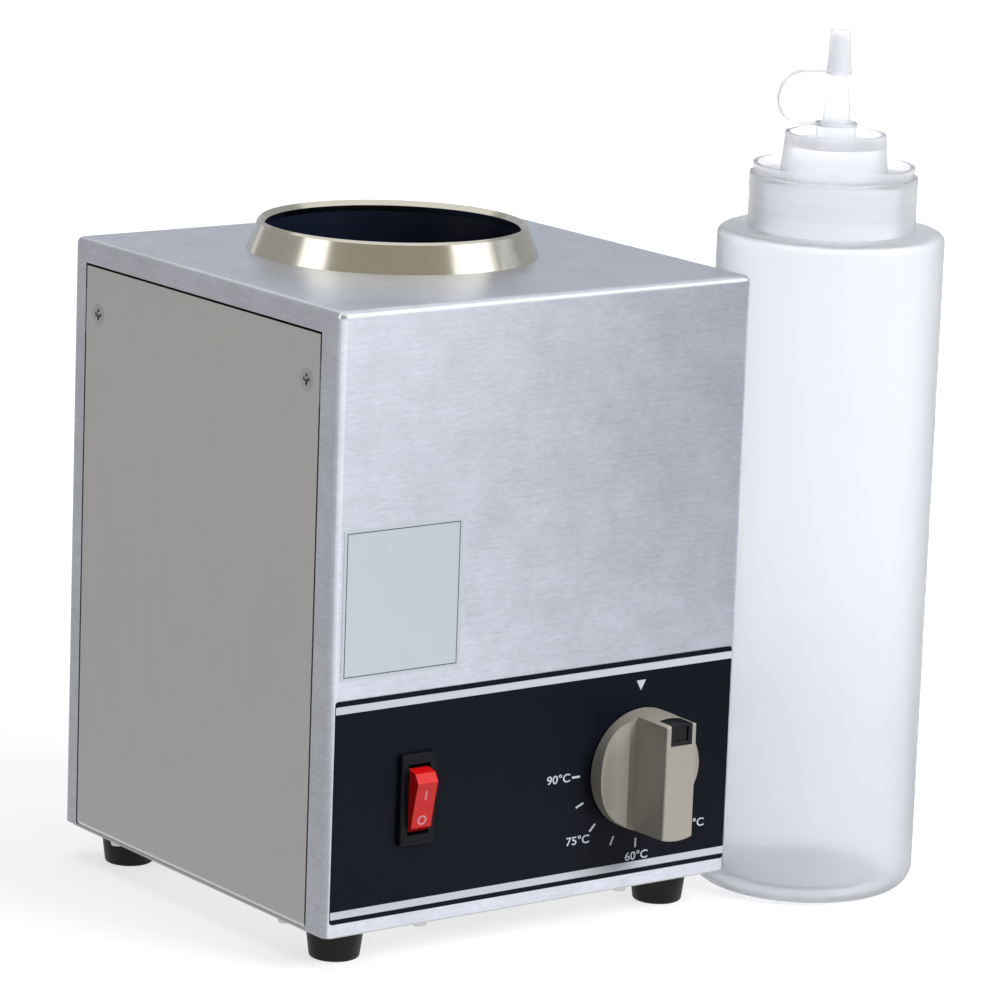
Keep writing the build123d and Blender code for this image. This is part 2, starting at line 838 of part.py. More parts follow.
save(thermostat_body, "thermostat_body")

with BuildPart() as thermostat_screws:
    with BuildSketch(front):
        with Locations(dial_place):
            with GridLocations(thermostat_screw_pitch, 0, 2, 1):
                Circle(small_head)
    extrude(amount=pan_head_height, taper=20)
    with BuildSketch(front):
        with Locations(dial_place):
            with GridLocations(thermostat_screw_pitch, 0, 2, 1):
                Circle(small_shank)
    extrude(amount=-small_screw_length)
save(thermostat_screws, "thermostat_screws")

spindle_seat = front.offset(overlay_thickness - spindle_depth + running_clearance)
with BuildPart() as thermostat_spindle:
    with BuildSketch(spindle_seat):
        with Locations(dial_place):
            Circle(spindle_radius)
    extrude(amount=spindle_depth + spindle_reach)
    # The flat that drives the knob
    with BuildSketch(front.offset(overlay_thickness + knob_gap)):
        with Locations((dial_from_middle, dial_height + spindle_radius - spindle_flat)):
            Rectangle(2 * spindle_radius, spindle_radius, align=(Align.CENTER, Align.MIN))
    extrude(amount=spindle_reach, mode=Mode.SUBTRACT)
save(thermostat_spindle, "thermostat_spindle")

# The bulb stands against the can above the heater, in a clip, joined by its capillary
bulb_turn = radians(bulb_direction)
bulb_reach = can_radius + bulb_radius + wrap_clearance
bulb_x = warmer_x + bulb_reach * cos(bulb_turn)
bulb_y = well_y + bulb_reach * sin(bulb_turn)
bulb_z = can_bottom + bulb_lift
with BuildPart() as thermostat_bulb:
    with BuildSketch(Plane(origin=(bulb_x, bulb_y, bulb_z))):
        Circle(bulb_radius)
    extrude(amount=bulb_length)
    fillet(thermostat_bulb.edges().filter_by(GeomType.CIRCLE), bulb_radius * 0.6)
save(thermostat_bulb, "thermostat_bulb")

bulb_radial = Plane(
    origin=(warmer_x, well_y, bulb_z + (bulb_length - clip_height) / 2),
    x_dir=(cos(bulb_turn), sin(bulb_turn), 0),
    z_dir=(0, 0, 1),
)
clip_inner = bulb_radius + wrap_clearance
with BuildPart() as bulb_clip:
    with BuildSketch(bulb_radial):
        with Locations((bulb_reach, 0)):
            Circle(clip_inner + clip_thickness)
            Rectangle(
                clip_inner, 2 * (clip_inner + clip_thickness), align=(Align.MAX, Align.CENTER)
            )
        with Locations((can_radius + wrap_clearance, 0)):
            Rectangle(clip_thickness * 2, clip_width, align=(Align.MIN, Align.CENTER))
        with Locations((bulb_reach, 0)):
            Circle(clip_inner, mode=Mode.SUBTRACT)
            Rectangle(2 * clip_inner, 2 * clip_inner, align=(Align.MAX, Align.CENTER), mode=Mode.SUBTRACT)
        Circle(can_radius + wrap_clearance, mode=Mode.SUBTRACT)
    extrude(amount=clip_height)
save(bulb_clip, "bulb_clip")

capillary_start = Vector(
    warmer_x + dial_from_middle,
    warmer_y - depth / 2 + sheet + thermostat_plate_thickness + thermostat_depth / 2,
    base_z + dial_height + thermostat_height / 2,
)
capillary_run_z = bulb_z - capillary_rise
with BuildPart() as capillary_tube:
    with BuildLine() as capillary_path:
        FilletPolyline(
            capillary_start,
            (capillary_start.X, capillary_start.Y, capillary_run_z),
            (bulb_x, bulb_y, capillary_run_z),
            (bulb_x, bulb_y, bulb_z),
            radius=capillary_bends,
        )
    with BuildSketch(Plane(origin=capillary_start)):
        Circle(capillary_radius)
    sweep()
save(capillary_tube, "capillary_tube")

# ---------------------------------------------------------------- knob
knob_back = front.offset(overlay_thickness + knob_gap)
knob_length = knob_depth - overlay_thickness - knob_gap
knob_section = Plane(
    origin=front.from_local_coords(Vector(*dial_place, 0)), x_dir=(1, 0, 0), z_dir=(0, 0, -1)
)
with BuildPart() as knob:
    with BuildSketch(knob_back):
        with Locations(dial_place):
            Circle(knob_radius)
    extrude(amount=knob_length, taper=knob_draft)
    # A scoop on each side leaves the grip bar across the middle
    with BuildSketch(knob_section):
        with BuildLine():
            ledge_end = grip_half_width + knob_ledge_width
            ThreePointArc(
                (knob_radius, knob_rim),
                ((knob_radius + ledge_end) / 2, (knob_rim + knob_ledge) / 2 - knob_scoop),
                (ledge_end, knob_ledge),
            )
            Polyline(
                (ledge_end, knob_ledge),
                (grip_half_width, knob_ledge),
                (grip_half_width, knob_depth + knob_gap),
                (knob_radius * 1.2, knob_depth + knob_gap),
                (knob_radius * 1.2, knob_rim),
                (knob_radius, knob_rim),
            )
        make_face()
        mirror(about=Plane.YZ)
    extrude(amount=knob_radius * 1.2, both=True, mode=Mode.SUBTRACT)
    fillet(knob.faces().sort_by(Axis.Y)[0].edges(), grip_edge)
    # Notch for the pointer
    with BuildSketch(front.offset(knob_depth)):
        with Locations((dial_from_middle, dial_height + knob_radius - pointer_length)):
            Rectangle(pointer_width, 2 * pointer_length, align=(Align.CENTER, Align.MIN))
    extrude(amount=-pointer_depth, mode=Mode.SUBTRACT)
    # Hollow back, with a hub bored to the spindle's section
    with BuildSketch(knob_back):
        with Locations(dial_place):
            Circle(knob_recess_radius)
            Circle(hub_radius, mode=Mode.SUBTRACT)
    extrude(amount=knob_recess_depth, mode=Mode.SUBTRACT)
    with BuildSketch(knob_back):
        with Locations(dial_place):
            Circle(spindle_radius + running_clearance)
        flat_height = dial_height + spindle_radius - spindle_flat + running_clearance
        with Locations((dial_from_middle, flat_height)):
            Rectangle(
                3 * spindle_radius, spindle_radius, align=(Align.CENTER, Align.MIN), mode=Mode.SUBTRACT
            )
    extrude(amount=spindle_reach - knob_gap + hub_end_gap, mode=Mode.SUBTRACT)
save(knob, "knob")

with BuildPart() as knob_pointer:
    with BuildSketch(knob_back):
        with Locations(dial_place):
            Circle(knob_radius - running_clearance)
    extrude(amount=knob_length, taper=knob_draft)
    with BuildSketch(front.offset(knob_depth)):
        with Locations((dial_from_middle, dial_height + knob_radius - pointer_length + running_clearance)):
            Rectangle(
                pointer_width - 2 * running_clearance,
                2 * pointer_length,
                align=(Align.CENTER, Align.MIN),
            )
    extrude(amount=-pointer_depth + running_clearance, mode=Mode.INTERSECT)
    # A shallow dish in its face
    with BuildSketch(front.offset(knob_depth)):
        with Locations((dial_from_middle, dial_height + knob_radius - pointer_length + pointer_dish_margin)):
            Rectangle(
                pointer_width - 2 * pointer_dish_margin,
                pointer_length - 2 * pointer_dish_margin,
                align=(Align.CENTER, Align.MIN),
            )
    extrude(amount=-pointer_dish, mode=Mode.SUBTRACT)
save(knob_pointer, "knob_pointer")

# ---------------------------------------------------------------- power inlet
flange_front = rear.offset(inlet_flange_thickness)
socket_floor = rear.offset(inlet_flange_thickness - inlet_socket_depth)
pin_places = [(-pin_pitch / 2, -pin_offset), (pin_pitch / 2, -pin_offset), (0, pin_offset)]
with BuildPart() as power_inlet:
    with BuildSketch(rear):
        with Locations(inlet_place):
            RectangleRounded(inlet_flange_width, inlet_flange_height, inlet_flange_radius)
    extrude(amount=inlet_flange_thickness)
    fillet(power_inlet.faces().sort_by(Axis.Y)[-1].edges(), bezel_edge)
    with BuildSketch(rear):
        with Locations(inlet_place):
            RectangleRounded(inlet_body_width, inlet_body_height, inlet_corner_radius)
    extrude(amount=-inlet_body_depth)
    with BuildSketch(flange_front) as socket_outline:
        with Locations(inlet_place):
            Rectangle(inlet_socket_width, inlet_socket_height)
        chamfer(socket_outline.vertices().group_by(Axis.Y)[-1], inlet_socket_chamfer)
    extrude(amount=-inlet_socket_depth, mode=Mode.SUBTRACT)
    with Locations(flange_front.location):
        with Locations(inlet_place):
            with GridLocations(inlet_screw_pitch, 0, 2, 1):
                CounterSinkHole(
                    panel_screw_shank + weld_clearance,
                    panel_screw_head + weld_clearance,
                    counter_sink_angle=90,
                )
    with BuildSketch(socket_floor):
        with Locations(inlet_place):
            with Locations(*pin_places):
                Rectangle(pin_thickness + 2 * weld_clearance, pin_width + 2 * weld_clearance)
    extrude(amount=-inlet_body_depth, mode=Mode.SUBTRACT)
save(power_inlet, "power_inlet")

pin_back = rear.offset(-inlet_body_depth - pin_tail)
with BuildPart() as inlet_pins:
    with BuildSketch(pin_back):
        with Locations(inlet_place):
            with Locations(*pin_places):
                Rectangle(pin_thickness, pin_width)
    pin_floor = inlet_body_depth + inlet_flange_thickness - inlet_socket_depth
    extrude(amount=pin_tail + pin_floor + pin_length)
save(inlet_pins, "inlet_pins")

with BuildPart() as inlet_screws:
    with BuildSketch(flange_front):
        with Locations(inlet_place):
            with GridLocations(inlet_screw_pitch, 0, 2, 1):
                Circle(small_head)
    extrude(amount=small_shank - small_head, taper=45)
    with BuildSketch(flange_front):
        with Locations(inlet_place):
            with GridLocations(inlet_screw_pitch, 0, 2, 1):
                Circle(small_shank)
    extrude(amount=-inlet_screw_length)
    with BuildSketch(flange_front):
        with Locations(inlet_place):
            with GridLocations(inlet_screw_pitch, 0, 2, 1):
                Rectangle(cross_length, cross_width)
                Rectangle(cross_width, cross_length)
    extrude(amount=-cross_depth, mode=Mode.SUBTRACT)
save(inlet_screws, "inlet_screws")

with BuildPart() as inlet_nuts:
    with BuildSketch(rear.offset(-sheet)):
        with Locations(inlet_place):
            with GridLocations(inlet_screw_pitch, 0, 2, 1):
                RegularPolygon(small_nut_radius, 6)
                Circle(small_shank + weld_clearance, mode=Mode.SUBTRACT)
    extrude(amount=-small_nut_height)
save(inlet_nuts, "inlet_nuts")

# ---------------------------------------------------------------- terminal block and earth stud
block_place = (block_from_middle, block_setback)
with BuildPart() as terminal_block:
    with BuildSketch(deck.offset(base_z)):
        with Locations(block_place):
            Rectangle(block_width, block_depth)
            Rectangle(small_shank, block_depth / 2, mode=Mode.SUBTRACT)
    extrude(amount=block_height)
    with BuildSketch(deck.offset(base_z + block_height)):
        with Locations(block_place):
            with GridLocations(block_pitch, 0, 2, 1):
                Circle(block_screw_radius + weld_clearance)
    extrude(amount=-block_height / 2, mode=Mode.SUBTRACT)
    block_front = Plane(
        origin=deck.from_local_coords(Vector(block_from_middle, block_setback, base_z)),
        x_dir=(1, 0, 0),
        z_dir=(0, -1, 0),
    )
    with BuildSketch(block_front):
        with Locations((0, block_height / 3)):
            with GridLocations(block_pitch, 0, 2, 1):
                Circle(block_wire_radius)
    extrude(amount=block_depth, both=True, mode=Mode.SUBTRACT)
save(terminal_block, "terminal_block")

with BuildPart() as terminal_screws:
    with BuildSketch(deck.offset(base_z + block_height / 2)):
        with Locations(block_place):
            with GridLocations(block_pitch, 0, 2, 1):
                Circle(block_screw_radius)
    extrude(amount=block_height / 3)
    with BuildSketch(deck.offset(base_z + block_height * 5 / 6)):
        with Locations(block_place):
            with GridLocations(block_pitch, 0, 2, 1):
                Rectangle(cross_length, cross_width)
    extrude(amount=-cross_depth, mode=Mode.SUBTRACT)
save(terminal_screws, "terminal_screws")

stud_place = (-stud_from_middle, stud_setback)
with BuildPart() as earth_stud:
    with BuildSketch(deck.offset(base_z)):
        with Locations(stud_place):
            Circle(large_nut_radius)
    extrude(amount=sheet)
    with BuildSketch(deck.offset(base_z)):
        with Locations(stud_place):
            Circle(stud_radius)
    extrude(amount=stud_height)
save(earth_stud, "earth_stud")

with BuildPart() as earth_nut:
    with BuildSketch(deck.offset(base_z + sheet)):
        with Locations(stud_place):
            RegularPolygon(large_nut_radius, 6)
            Circle(stud_radius + weld_clearance, mode=Mode.SUBTRACT)
    extrude(amount=large_nut_height)
save(earth_nut, "earth_nut")

# ---------------------------------------------------------------- squeeze bottle
with BuildPart() as bottle_body:
    with BuildSketch(bottle_section) as bottle_outline:
        with BuildLine():
            Polyline(
                (0, bottle_push_up),
                (bottle_push_up_radius, bottle_push_up),
                (bottle_push_up_radius + bottle_push_up, 0),
                (bottle_radius, 0),
                (bottle_radius, shoulder_height),
                (neck_radius, shoulder_height),
                (neck_radius, neck_top),
                (0, neck_top),
                close=True,
            )
        make_face()
        heel = bottle_outline.vertices().sort_by_distance((bottle_radius, 0, 0))[0]
        fillet(heel, bottle_heel_radius)
        shoulder = bottle_outline.vertices().sort_by_distance((bottle_radius, shoulder_height, 0))[0]
        fillet(shoulder, shoulder_radius)
    revolve(axis=bottle_axis)
    offset(amount=-bottle_wall, openings=bottle_body.faces().sort_by(Axis.Z)[-1])
save(bottle_body, "bottle_body")

plate_low = neck_top + cap_seat_gap
with BuildPart() as bottle_cap:
    with BuildSketch(bottle_section):
        with BuildLine():
            Polyline(
                (cap_radius, cap_bottom),
                (cap_radius, skirt_top),
                (cap_rim_foot_radius, skirt_top),
                (cap_rim_radius, cap_rim_top),
                (cap_rim_radius - cap_wall, cap_rim_top),
                (cap_rim_radius - cap_wall, recess_floor),
                (cup_base_radius, recess_floor),
                (cup_top_radius, cup_top),
                (cup_top_radius - cap_wall, cup_top),
                (cup_top_radius - cap_wall, cup_floor),
                (boss_radius, cup_floor),
                (boss_radius, boss_top),
                (nozzle_base_radius, boss_top),
                (nozzle_tip_radius, nozzle_tip),
                (orifice_radius, nozzle_tip),
                (nozzle_bore_radius, boss_top),
                (nozzle_bore_radius, cup_floor - cap_wall),
                (cup_top_radius - cap_wall, cup_floor - cap_wall),
                (cup_base_radius - cap_wall, plate_low),
                (cap_inner, plate_low),
                (cap_inner, cap_bottom),
                close=True,
            )
        make_face()
    revolve(axis=bottle_axis)
save(bottle_cap, "bottle_cap")

tip_inner = nozzle_radius(tip_cap_low) + tip_gap
tip_outer = tip_inner + tip_cap_wall
flare_top = tip_cap_low + tip_cap_flare_height
with BuildPart() as tip_cap:
    with BuildSketch(bottle_section):
        with BuildLine():
            Polyline(
                (tip_inner, tip_cap_low),
                (tip_outer + tip_cap_flare, tip_cap_low),
                (tip_outer + tip_cap_flare, flare_top),
                (tip_outer, flare_top),
                (tip_cap_top_radius, tip_cap_top),
                (0, tip_cap_top),
                (0, nozzle_tip + tip_gap),
                (nozzle_tip_radius + tip_gap, nozzle_tip + tip_gap),
                close=True,
            )
        make_face()
    revolve(axis=bottle_axis)
    fillet(tip_cap.edges().sort_by(Axis.Z)[-1], tip_cap_edge)
save(tip_cap, "tip_cap")

# The strap loops out sideways from a ring round the nozzle to the tip cap's foot
strap_turn = radians(strap_direction)
strap_plane = Plane(
    origin=(bottle_x, bottle_y, 0),
    x_dir=(cos(strap_turn), sin(strap_turn), 0),
    z_dir=(sin(strap_turn), -cos(strap_turn), 0),
)
strap_low = boss_top + strap_ring_height / 2
strap_high = tip_cap_low + tip_cap_flare_height / 2
strap_bend = (strap_high - strap_low) / 2
strap_turn_start = strap_reach - strap_bend
with BuildPart() as tip_strap:
    with BuildSketch(bottle.offset(boss_top)):
        Circle(strap_ring_radius)
        Circle(nozzle_base_radius + strap_ring_clearance, mode=Mode.SUBTRACT)
    extrude(amount=strap_ring_height)
    with BuildSketch(strap_plane):
        with BuildLine():
            Line((strap_ring_radius - strap_thickness, strap_low), (strap_turn_start, strap_low))
            ThreePointArc(
                (strap_turn_start, strap_low),
                (strap_reach, (strap_low + strap_high) / 2),
                (strap_turn_start, strap_high),
            )
            Line(
                (strap_turn_start, strap_high),
                (tip_outer + tip_cap_flare + tip_gap, strap_high),
            )
        trace(line_width=strap_thickness)
    extrude(amount=strap_width / 2, both=True)
save(tip_strap, "tip_strap")
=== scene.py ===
import json
from contextlib import contextmanager
from math import atan2, cos, pi, radians, sin, sqrt

import bpy
from bpy.props import FloatProperty, FloatVectorProperty, IntProperty, PointerProperty
from mathutils import Matrix, Vector


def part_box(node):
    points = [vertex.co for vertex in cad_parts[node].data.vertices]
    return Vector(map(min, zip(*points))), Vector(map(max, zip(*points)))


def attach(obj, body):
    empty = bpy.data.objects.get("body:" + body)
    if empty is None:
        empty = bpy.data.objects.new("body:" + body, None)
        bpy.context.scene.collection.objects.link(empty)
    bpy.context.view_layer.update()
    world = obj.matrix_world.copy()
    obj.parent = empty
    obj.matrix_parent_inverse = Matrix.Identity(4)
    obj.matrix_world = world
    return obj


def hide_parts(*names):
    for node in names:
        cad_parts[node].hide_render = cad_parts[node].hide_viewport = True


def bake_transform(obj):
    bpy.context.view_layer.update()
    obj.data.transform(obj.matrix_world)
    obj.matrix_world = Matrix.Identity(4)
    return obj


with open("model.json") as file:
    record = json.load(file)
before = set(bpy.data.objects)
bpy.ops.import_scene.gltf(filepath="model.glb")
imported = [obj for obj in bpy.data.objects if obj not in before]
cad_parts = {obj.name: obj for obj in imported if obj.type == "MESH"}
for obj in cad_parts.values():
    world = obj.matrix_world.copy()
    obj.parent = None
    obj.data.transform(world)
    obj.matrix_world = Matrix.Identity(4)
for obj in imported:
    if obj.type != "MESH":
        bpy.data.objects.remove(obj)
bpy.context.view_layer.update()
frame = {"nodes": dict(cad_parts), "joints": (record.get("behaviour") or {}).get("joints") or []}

bl_info = {
    "name": "Topping warmer set",
    "version": (1, 0, 0),
    "blender": (4, 5, 0),
    "location": "3D View > Sidebar > Warmer",
    "description": "Dresses a countertop topping warmer and its squeeze bottle",
    "category": "Object",
}

MM = 0.001

# Places read from the frame, in metres
SHELL_LOW, SHELL_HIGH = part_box("housing_shell")
LABEL_LOW, LABEL_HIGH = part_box("control_overlay")
KNOB_LOW, KNOB_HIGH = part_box("knob")
BODY_LOW, BODY_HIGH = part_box("bottle_body")
CAP_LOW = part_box("bottle_cap")[0]
TIP_LOW, TIP_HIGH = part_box("tip_cap")
STRAP_LOW, STRAP_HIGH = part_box("tip_strap")
COLLAR_LOW, COLLAR_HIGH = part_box("collar_ring")
FRONT_Y = SHELL_LOW.y
LABEL_Y = LABEL_LOW.y
WARMER_X = (SHELL_LOW.x + SHELL_HIGH.x) / 2
WARMER_Y = (SHELL_LOW.y + SHELL_HIGH.y) / 2
BOTTLE_X = (BODY_LOW.x + BODY_HIGH.x) / 2
BOTTLE_Y = (BODY_LOW.y + BODY_HIGH.y) / 2
# The printed scale sits a hair to the left of the knob's axis
SCALE_X = (KNOB_LOW.x + KNOB_HIGH.x) / 2 - 0.4 * MM
SCALE_Z = (KNOB_LOW.z + KNOB_HIGH.z) / 2
ROCKER = [joint for joint in frame["joints"] if joint["name"] == "rocker_tilt"][0]

QUARTER_TURN, HALF_TURN = radians(90), radians(180)
SMOOTH_ANGLE = radians(30)
STRAP_SMOOTH_ANGLE = radians(40)


# ---------------------------------------------------------------- settings a user would change
class WarmerSizes(bpy.types.PropertyGroup):
    """Sizes of the printed marks and the strap"""

    ink_thickness: FloatProperty(
        name="Ink thickness", description="How proud the printing stands of the label",
        default=0.06 * MM, unit="LENGTH")
    stripe_height: FloatProperty(
        name="Stripe height", description="Height of the label's white stripes",
        default=2.5 * MM, unit="LENGTH")
    stripe_inset: FloatProperty(
        name="Stripe inset", description="Black edge left outside each stripe",
        default=1.7 * MM, unit="LENGTH")
    digit_height: FloatProperty(
        name="Digit height", description="Cap height of the temperature numbers",
        default=2.8 * MM, unit="LENGTH")
    tick_inner: FloatProperty(
        name="Tick inner radius", description="Where a scale tick starts, from the knob's axis",
        default=24.4 * MM, unit="LENGTH")
    tick_outer: FloatProperty(
        name="Tick outer radius", description="Where a scale tick ends, from the knob's axis",
        default=27.7 * MM, unit="LENGTH")
    plate_width: FloatProperty(
        name="Plate width", description="Width of the bare plate on the front",
        default=46.4 * MM, unit="LENGTH")
    plate_height: FloatProperty(
        name="Plate height", description="Height of the bare plate on the front",
        default=49.5 * MM, unit="LENGTH")
    strap_width: FloatProperty(
        name="Strap width", description="Width of the tip cap's strap",
        default=2.8 * MM, unit="LENGTH")
    strap_thickness: FloatProperty(
        name="Strap thickness", description="Thickness of the tip cap's strap",
        default=0.8 * MM, unit="LENGTH")
    strap_reach: FloatProperty(
        name="Strap reach",
        description="How far the strap's loop stands out from the nozzle's axis",
        default=21.0 * MM, unit="LENGTH")
    strap_steps: IntProperty(
        name="Strap steps", description="Steps round the strap's loop", default=28, min=8)


class WarmerColours(bpy.types.PropertyGroup):
    """Base colours of the finishes"""

    steel: FloatVectorProperty(
        name="Steel", description="Brushed sheet steel", subtype="COLOR", size=3,
        default=(0.672, 0.700, 0.772))
    side_steel: FloatVectorProperty(
        name="Side steel", description="Side panels", subtype="COLOR", size=3,
        default=(0.662, 0.655, 0.643))
    collar: FloatVectorProperty(
        name="Collar", description="Turned collar", subtype="COLOR", size=3,
        default=(0.640, 0.615, 0.540))
    well: FloatVectorProperty(
        name="Well", description="Dark coating inside the well", subtype="COLOR", size=3,
        default=(0.004, 0.007, 0.018))
    zinc: FloatVectorProperty(
        name="Zinc", description="Plated screws, nuts and strip", subtype="COLOR", size=3,
        default=(0.560, 0.560, 0.560))
    label: FloatVectorProperty(
        name="Label", description="Control label film", subtype="COLOR", size=3,
        default=(0.0045, 0.0060, 0.0110))
    ink: FloatVectorProperty(
        name="Ink", description="Printed marks", subtype="COLOR", size=3,
        default=(0.640, 0.670, 0.720))
    plate: FloatVectorProperty(
        name="Plate", description="Bare plate", subtype="COLOR", size=3,
        default=(0.600, 0.650, 0.690))
    knob: FloatVectorProperty(
        name="Knob", description="Moulded knob", subtype="COLOR", size=3,
        default=(0.420, 0.390, 0.330))
    black: FloatVectorProperty(
        name="Black plastic", description="Moulded black pieces", subtype="COLOR", size=3,
        default=(0.0060, 0.0068, 0.0085))
    rocker: FloatVectorProperty(
        name="Rocker", description="Red rocker", subtype="COLOR", size=3,
        default=(0.680, 0.006, 0.006))
    rubber: FloatVectorProperty(
        name="Rubber", description="Feet", subtype="COLOR", size=3,
        default=(0.0050, 0.0050, 0.0055))
    bottle: FloatVectorProperty(
        name="Bottle", description="Translucent bottle", subtype="COLOR", size=3,
        default=(0.955, 0.970, 1.000))
    cap: FloatVectorProperty(
        name="Cap", description="Translucent cap", subtype="COLOR", size=3,
        default=(0.970, 0.976, 1.000))


def sizes():
    return bpy.context.scene.warmer_sizes


def colours():
    return bpy.context.scene.warmer_colours


# ---------------------------------------------------------------- node helpers
def feed(tree, socket, value):
    """Give an input a link from another socket, or a constant."""
    if isinstance(value, bpy.types.NodeSocket):
        tree.links.new(value, socket)
    else:
        socket.default_value = value


def maths(tree, operation, first, second=0.0):
    """A Math node whose inputs are sockets or numbers."""
    node = tree.nodes.new("ShaderNodeMath")
    node.operation = operation
    feed(tree, node.inputs[0], first)
    feed(tree, node.inputs[1], second)
    return node.outputs[0]


def total(tree, first, second):
    return maths(tree, "ADD", first, second)


def product(tree, first, second):
    return maths(tree, "MULTIPLY", first, second)


def split(tree, vector):
    """The X, Y and Z of a vector."""
    node = tree.nodes.new("ShaderNodeSeparateXYZ")
    tree.links.new(vector, node.inputs[0])
    return node.outputs[0], node.outputs[1], node.outputs[2]


def noise(tree, vector, scale, detail=2.0, roughness=0.5):
    node = tree.nodes.new("ShaderNodeTexNoise")
    feed(tree, node.inputs["Vector"], vector)
    feed(tree, node.inputs["Scale"], scale)
    feed(tree, node.inputs["Detail"], detail)
    feed(tree, node.inputs["Roughness"], roughness)
    return node.outputs[0]


def ramp(tree, value, start, end, low, high, kind="LINEAR"):
    """Runs from low to high while the value runs from start to end."""
    node = tree.nodes.new("ShaderNodeMapRange")
    node.interpolation_type = kind
    ends = (("From Min", start), ("From Max", end), ("To Min", low), ("To Max", high))
    for socket, number in ends:
        node.inputs[socket].default_value = number
    tree.links.new(value, node.inputs["Value"])
    return node.outputs[0]


def tinted(tree, colour, shade):
    """A colour multiplied by a grey value."""
    node = tree.nodes.new("ShaderNodeVectorMath")
    node.operation = "SCALE"
    tree.links.new(colour, node.inputs[0])
    tree.links.new(shade, node.inputs["Scale"])
    return node.outputs[0]


def bumped(tree, height, strength, depth):
    node = tree.nodes.new("ShaderNodeBump")
    node.inputs["Distance"].default_value = depth
    feed(tree, node.inputs["Strength"], strength)
    tree.links.new(height, node.inputs["Height"])
    return node.outputs[0]


def mixed(tree, factor, first, second):
    node = tree.nodes.new("ShaderNodeMixShader")
    for socket, value in zip(node.inputs, (factor, first, second)):
        tree.links.new(value, socket)
    return node.outputs[0]


# ---------------------------------------------------------------- shared shader groups
# A noise scale is in features a metre, where the group doesn't stretch its coordinates first
CLOUD_SCALE, CLOUD_DETAIL, CLOUD_FINENESS = 60.0, 3.0, 0.62
DASH_STRETCH, DASH_DETAIL = (7.0, 0.8, 1.0), 2.0
SCRATCH_DETAIL, SCRATCH_BUMP, SCRATCH_DEPTH = 3.0, 0.25, 0.02 * MM
GRAIN_FINENESS = 0.6
SCRATCH_ROUGHENING, CLOUD_ROUGHENING = 0.08, 0.10
STIPPLE_SCALE, STIPPLE_DETAIL, STIPPLE_DEPTH = 2600.0, 1.0, 0.04 * MM
SKIN_CLOUD_SCALE, SKIN_CLOUD_DETAIL, SKIN_ROUGHENING = 90.0, 3.0, 0.12
NOISE_MIDDLE = 0.5


def new_group(name, inputs):
    """A group that puts out colour, roughness and normal; an input is (name, kind, default)."""
    group = bpy.data.node_groups.new(name, "ShaderNodeTree")
    for label, kind, default in inputs:
        socket = group.interface.new_socket(label, in_out="INPUT", socket_type="NodeSocket" + kind)
        if default is not None:
            socket.default_value = default
    for label, kind in (("Colour", "Color"), ("Roughness", "Float"), ("Normal", "Vector")):
        group.interface.new_socket(label, in_out="OUTPUT", socket_type="NodeSocket" + kind)
    source = group.nodes.new("NodeGroupInput")
    sink = group.nodes.new("NodeGroupOutput")
    return group, source.outputs, sink.inputs


def brushed_grain_group():
    """Long fine scratches plus soft cloudy patches, for brushed and turned metal."""
    group, given, result = new_group("brushed_grain", (
        ("Colour", "Color", (0.6, 0.6, 0.6, 1)), ("Grain", "Vector", None),
        ("Place", "Vector", None), ("Contrast", "Float", 0.06), ("Cloud", "Float", 0.05),
        ("Polish", "Float", 0.3)))
    lines = noise(group, given["Grain"], 1.0, SCRATCH_DETAIL, GRAIN_FINENESS)
    cloud = noise(group, given["Place"], CLOUD_SCALE, CLOUD_DETAIL, CLOUD_FINENESS)
    dashes = group.nodes.new("ShaderNodeVectorMath")
    dashes.operation = "MULTIPLY"
    dashes.inputs[1].default_value = DASH_STRETCH
    group.links.new(given["Grain"], dashes.inputs[0])
    patch = noise(group, dashes.outputs[0], 1.0, DASH_DETAIL, GRAIN_FINENESS)
    centred = maths(group, "SUBTRACT", lines, NOISE_MIDDLE)
    # Clouds and dashes count half each
    both = total(group, product(group, cloud, 0.5), product(group, patch, 0.5))
    drift = maths(group, "SUBTRACT", both, NOISE_MIDDLE)
    shade = total(group, product(group, centred, given["Contrast"]),
                  product(group, drift, given["Cloud"]))
    group.links.new(tinted(group, given["Colour"], total(group, shade, 1.0)), result["Colour"])
    uneven = total(group, product(group, centred, SCRATCH_ROUGHENING),
                   product(group, drift, CLOUD_ROUGHENING))
    group.links.new(total(group, given["Polish"], uneven), result["Roughness"])
    group.links.new(bumped(group, lines, SCRATCH_BUMP, SCRATCH_DEPTH), result["Normal"])
    return group


def moulded_skin_group():
    """The fine stipple and slight colour drift of moulded plastic and rubber."""
    group, given, result = new_group("moulded_skin", (
        ("Colour", "Color", (0.5, 0.5, 0.5, 1)), ("Place", "Vector", None),
        ("Stipple", "Float", 0.3), ("Polish", "Float", 0.4), ("Drift", "Float", 0.06)))
    stipple = noise(group, given["Place"], STIPPLE_SCALE, STIPPLE_DETAIL)
    cloud = noise(group, given["Place"], SKIN_CLOUD_SCALE, SKIN_CLOUD_DETAIL)
    drift = maths(group, "SUBTRACT", cloud, NOISE_MIDDLE)
    shade = total(group, product(group, drift, given["Drift"]), 1.0)
    group.links.new(tinted(group, given["Colour"], shade), result["Colour"])
    group.links.new(total(group, given["Polish"], product(group, drift, SKIN_ROUGHENING)),
                    result["Roughness"])
    group.links.new(bumped(group, stipple, given["Stipple"], STIPPLE_DEPTH), result["Normal"])
    return group


GROUP_MAKERS = {"brushed_grain": brushed_grain_group, "moulded_skin": moulded_skin_group}


def shared_group(name):
    """A node group by name, built the first time it is asked for."""
    return bpy.data.node_groups.get(name) or GROUP_MAKERS[name]()


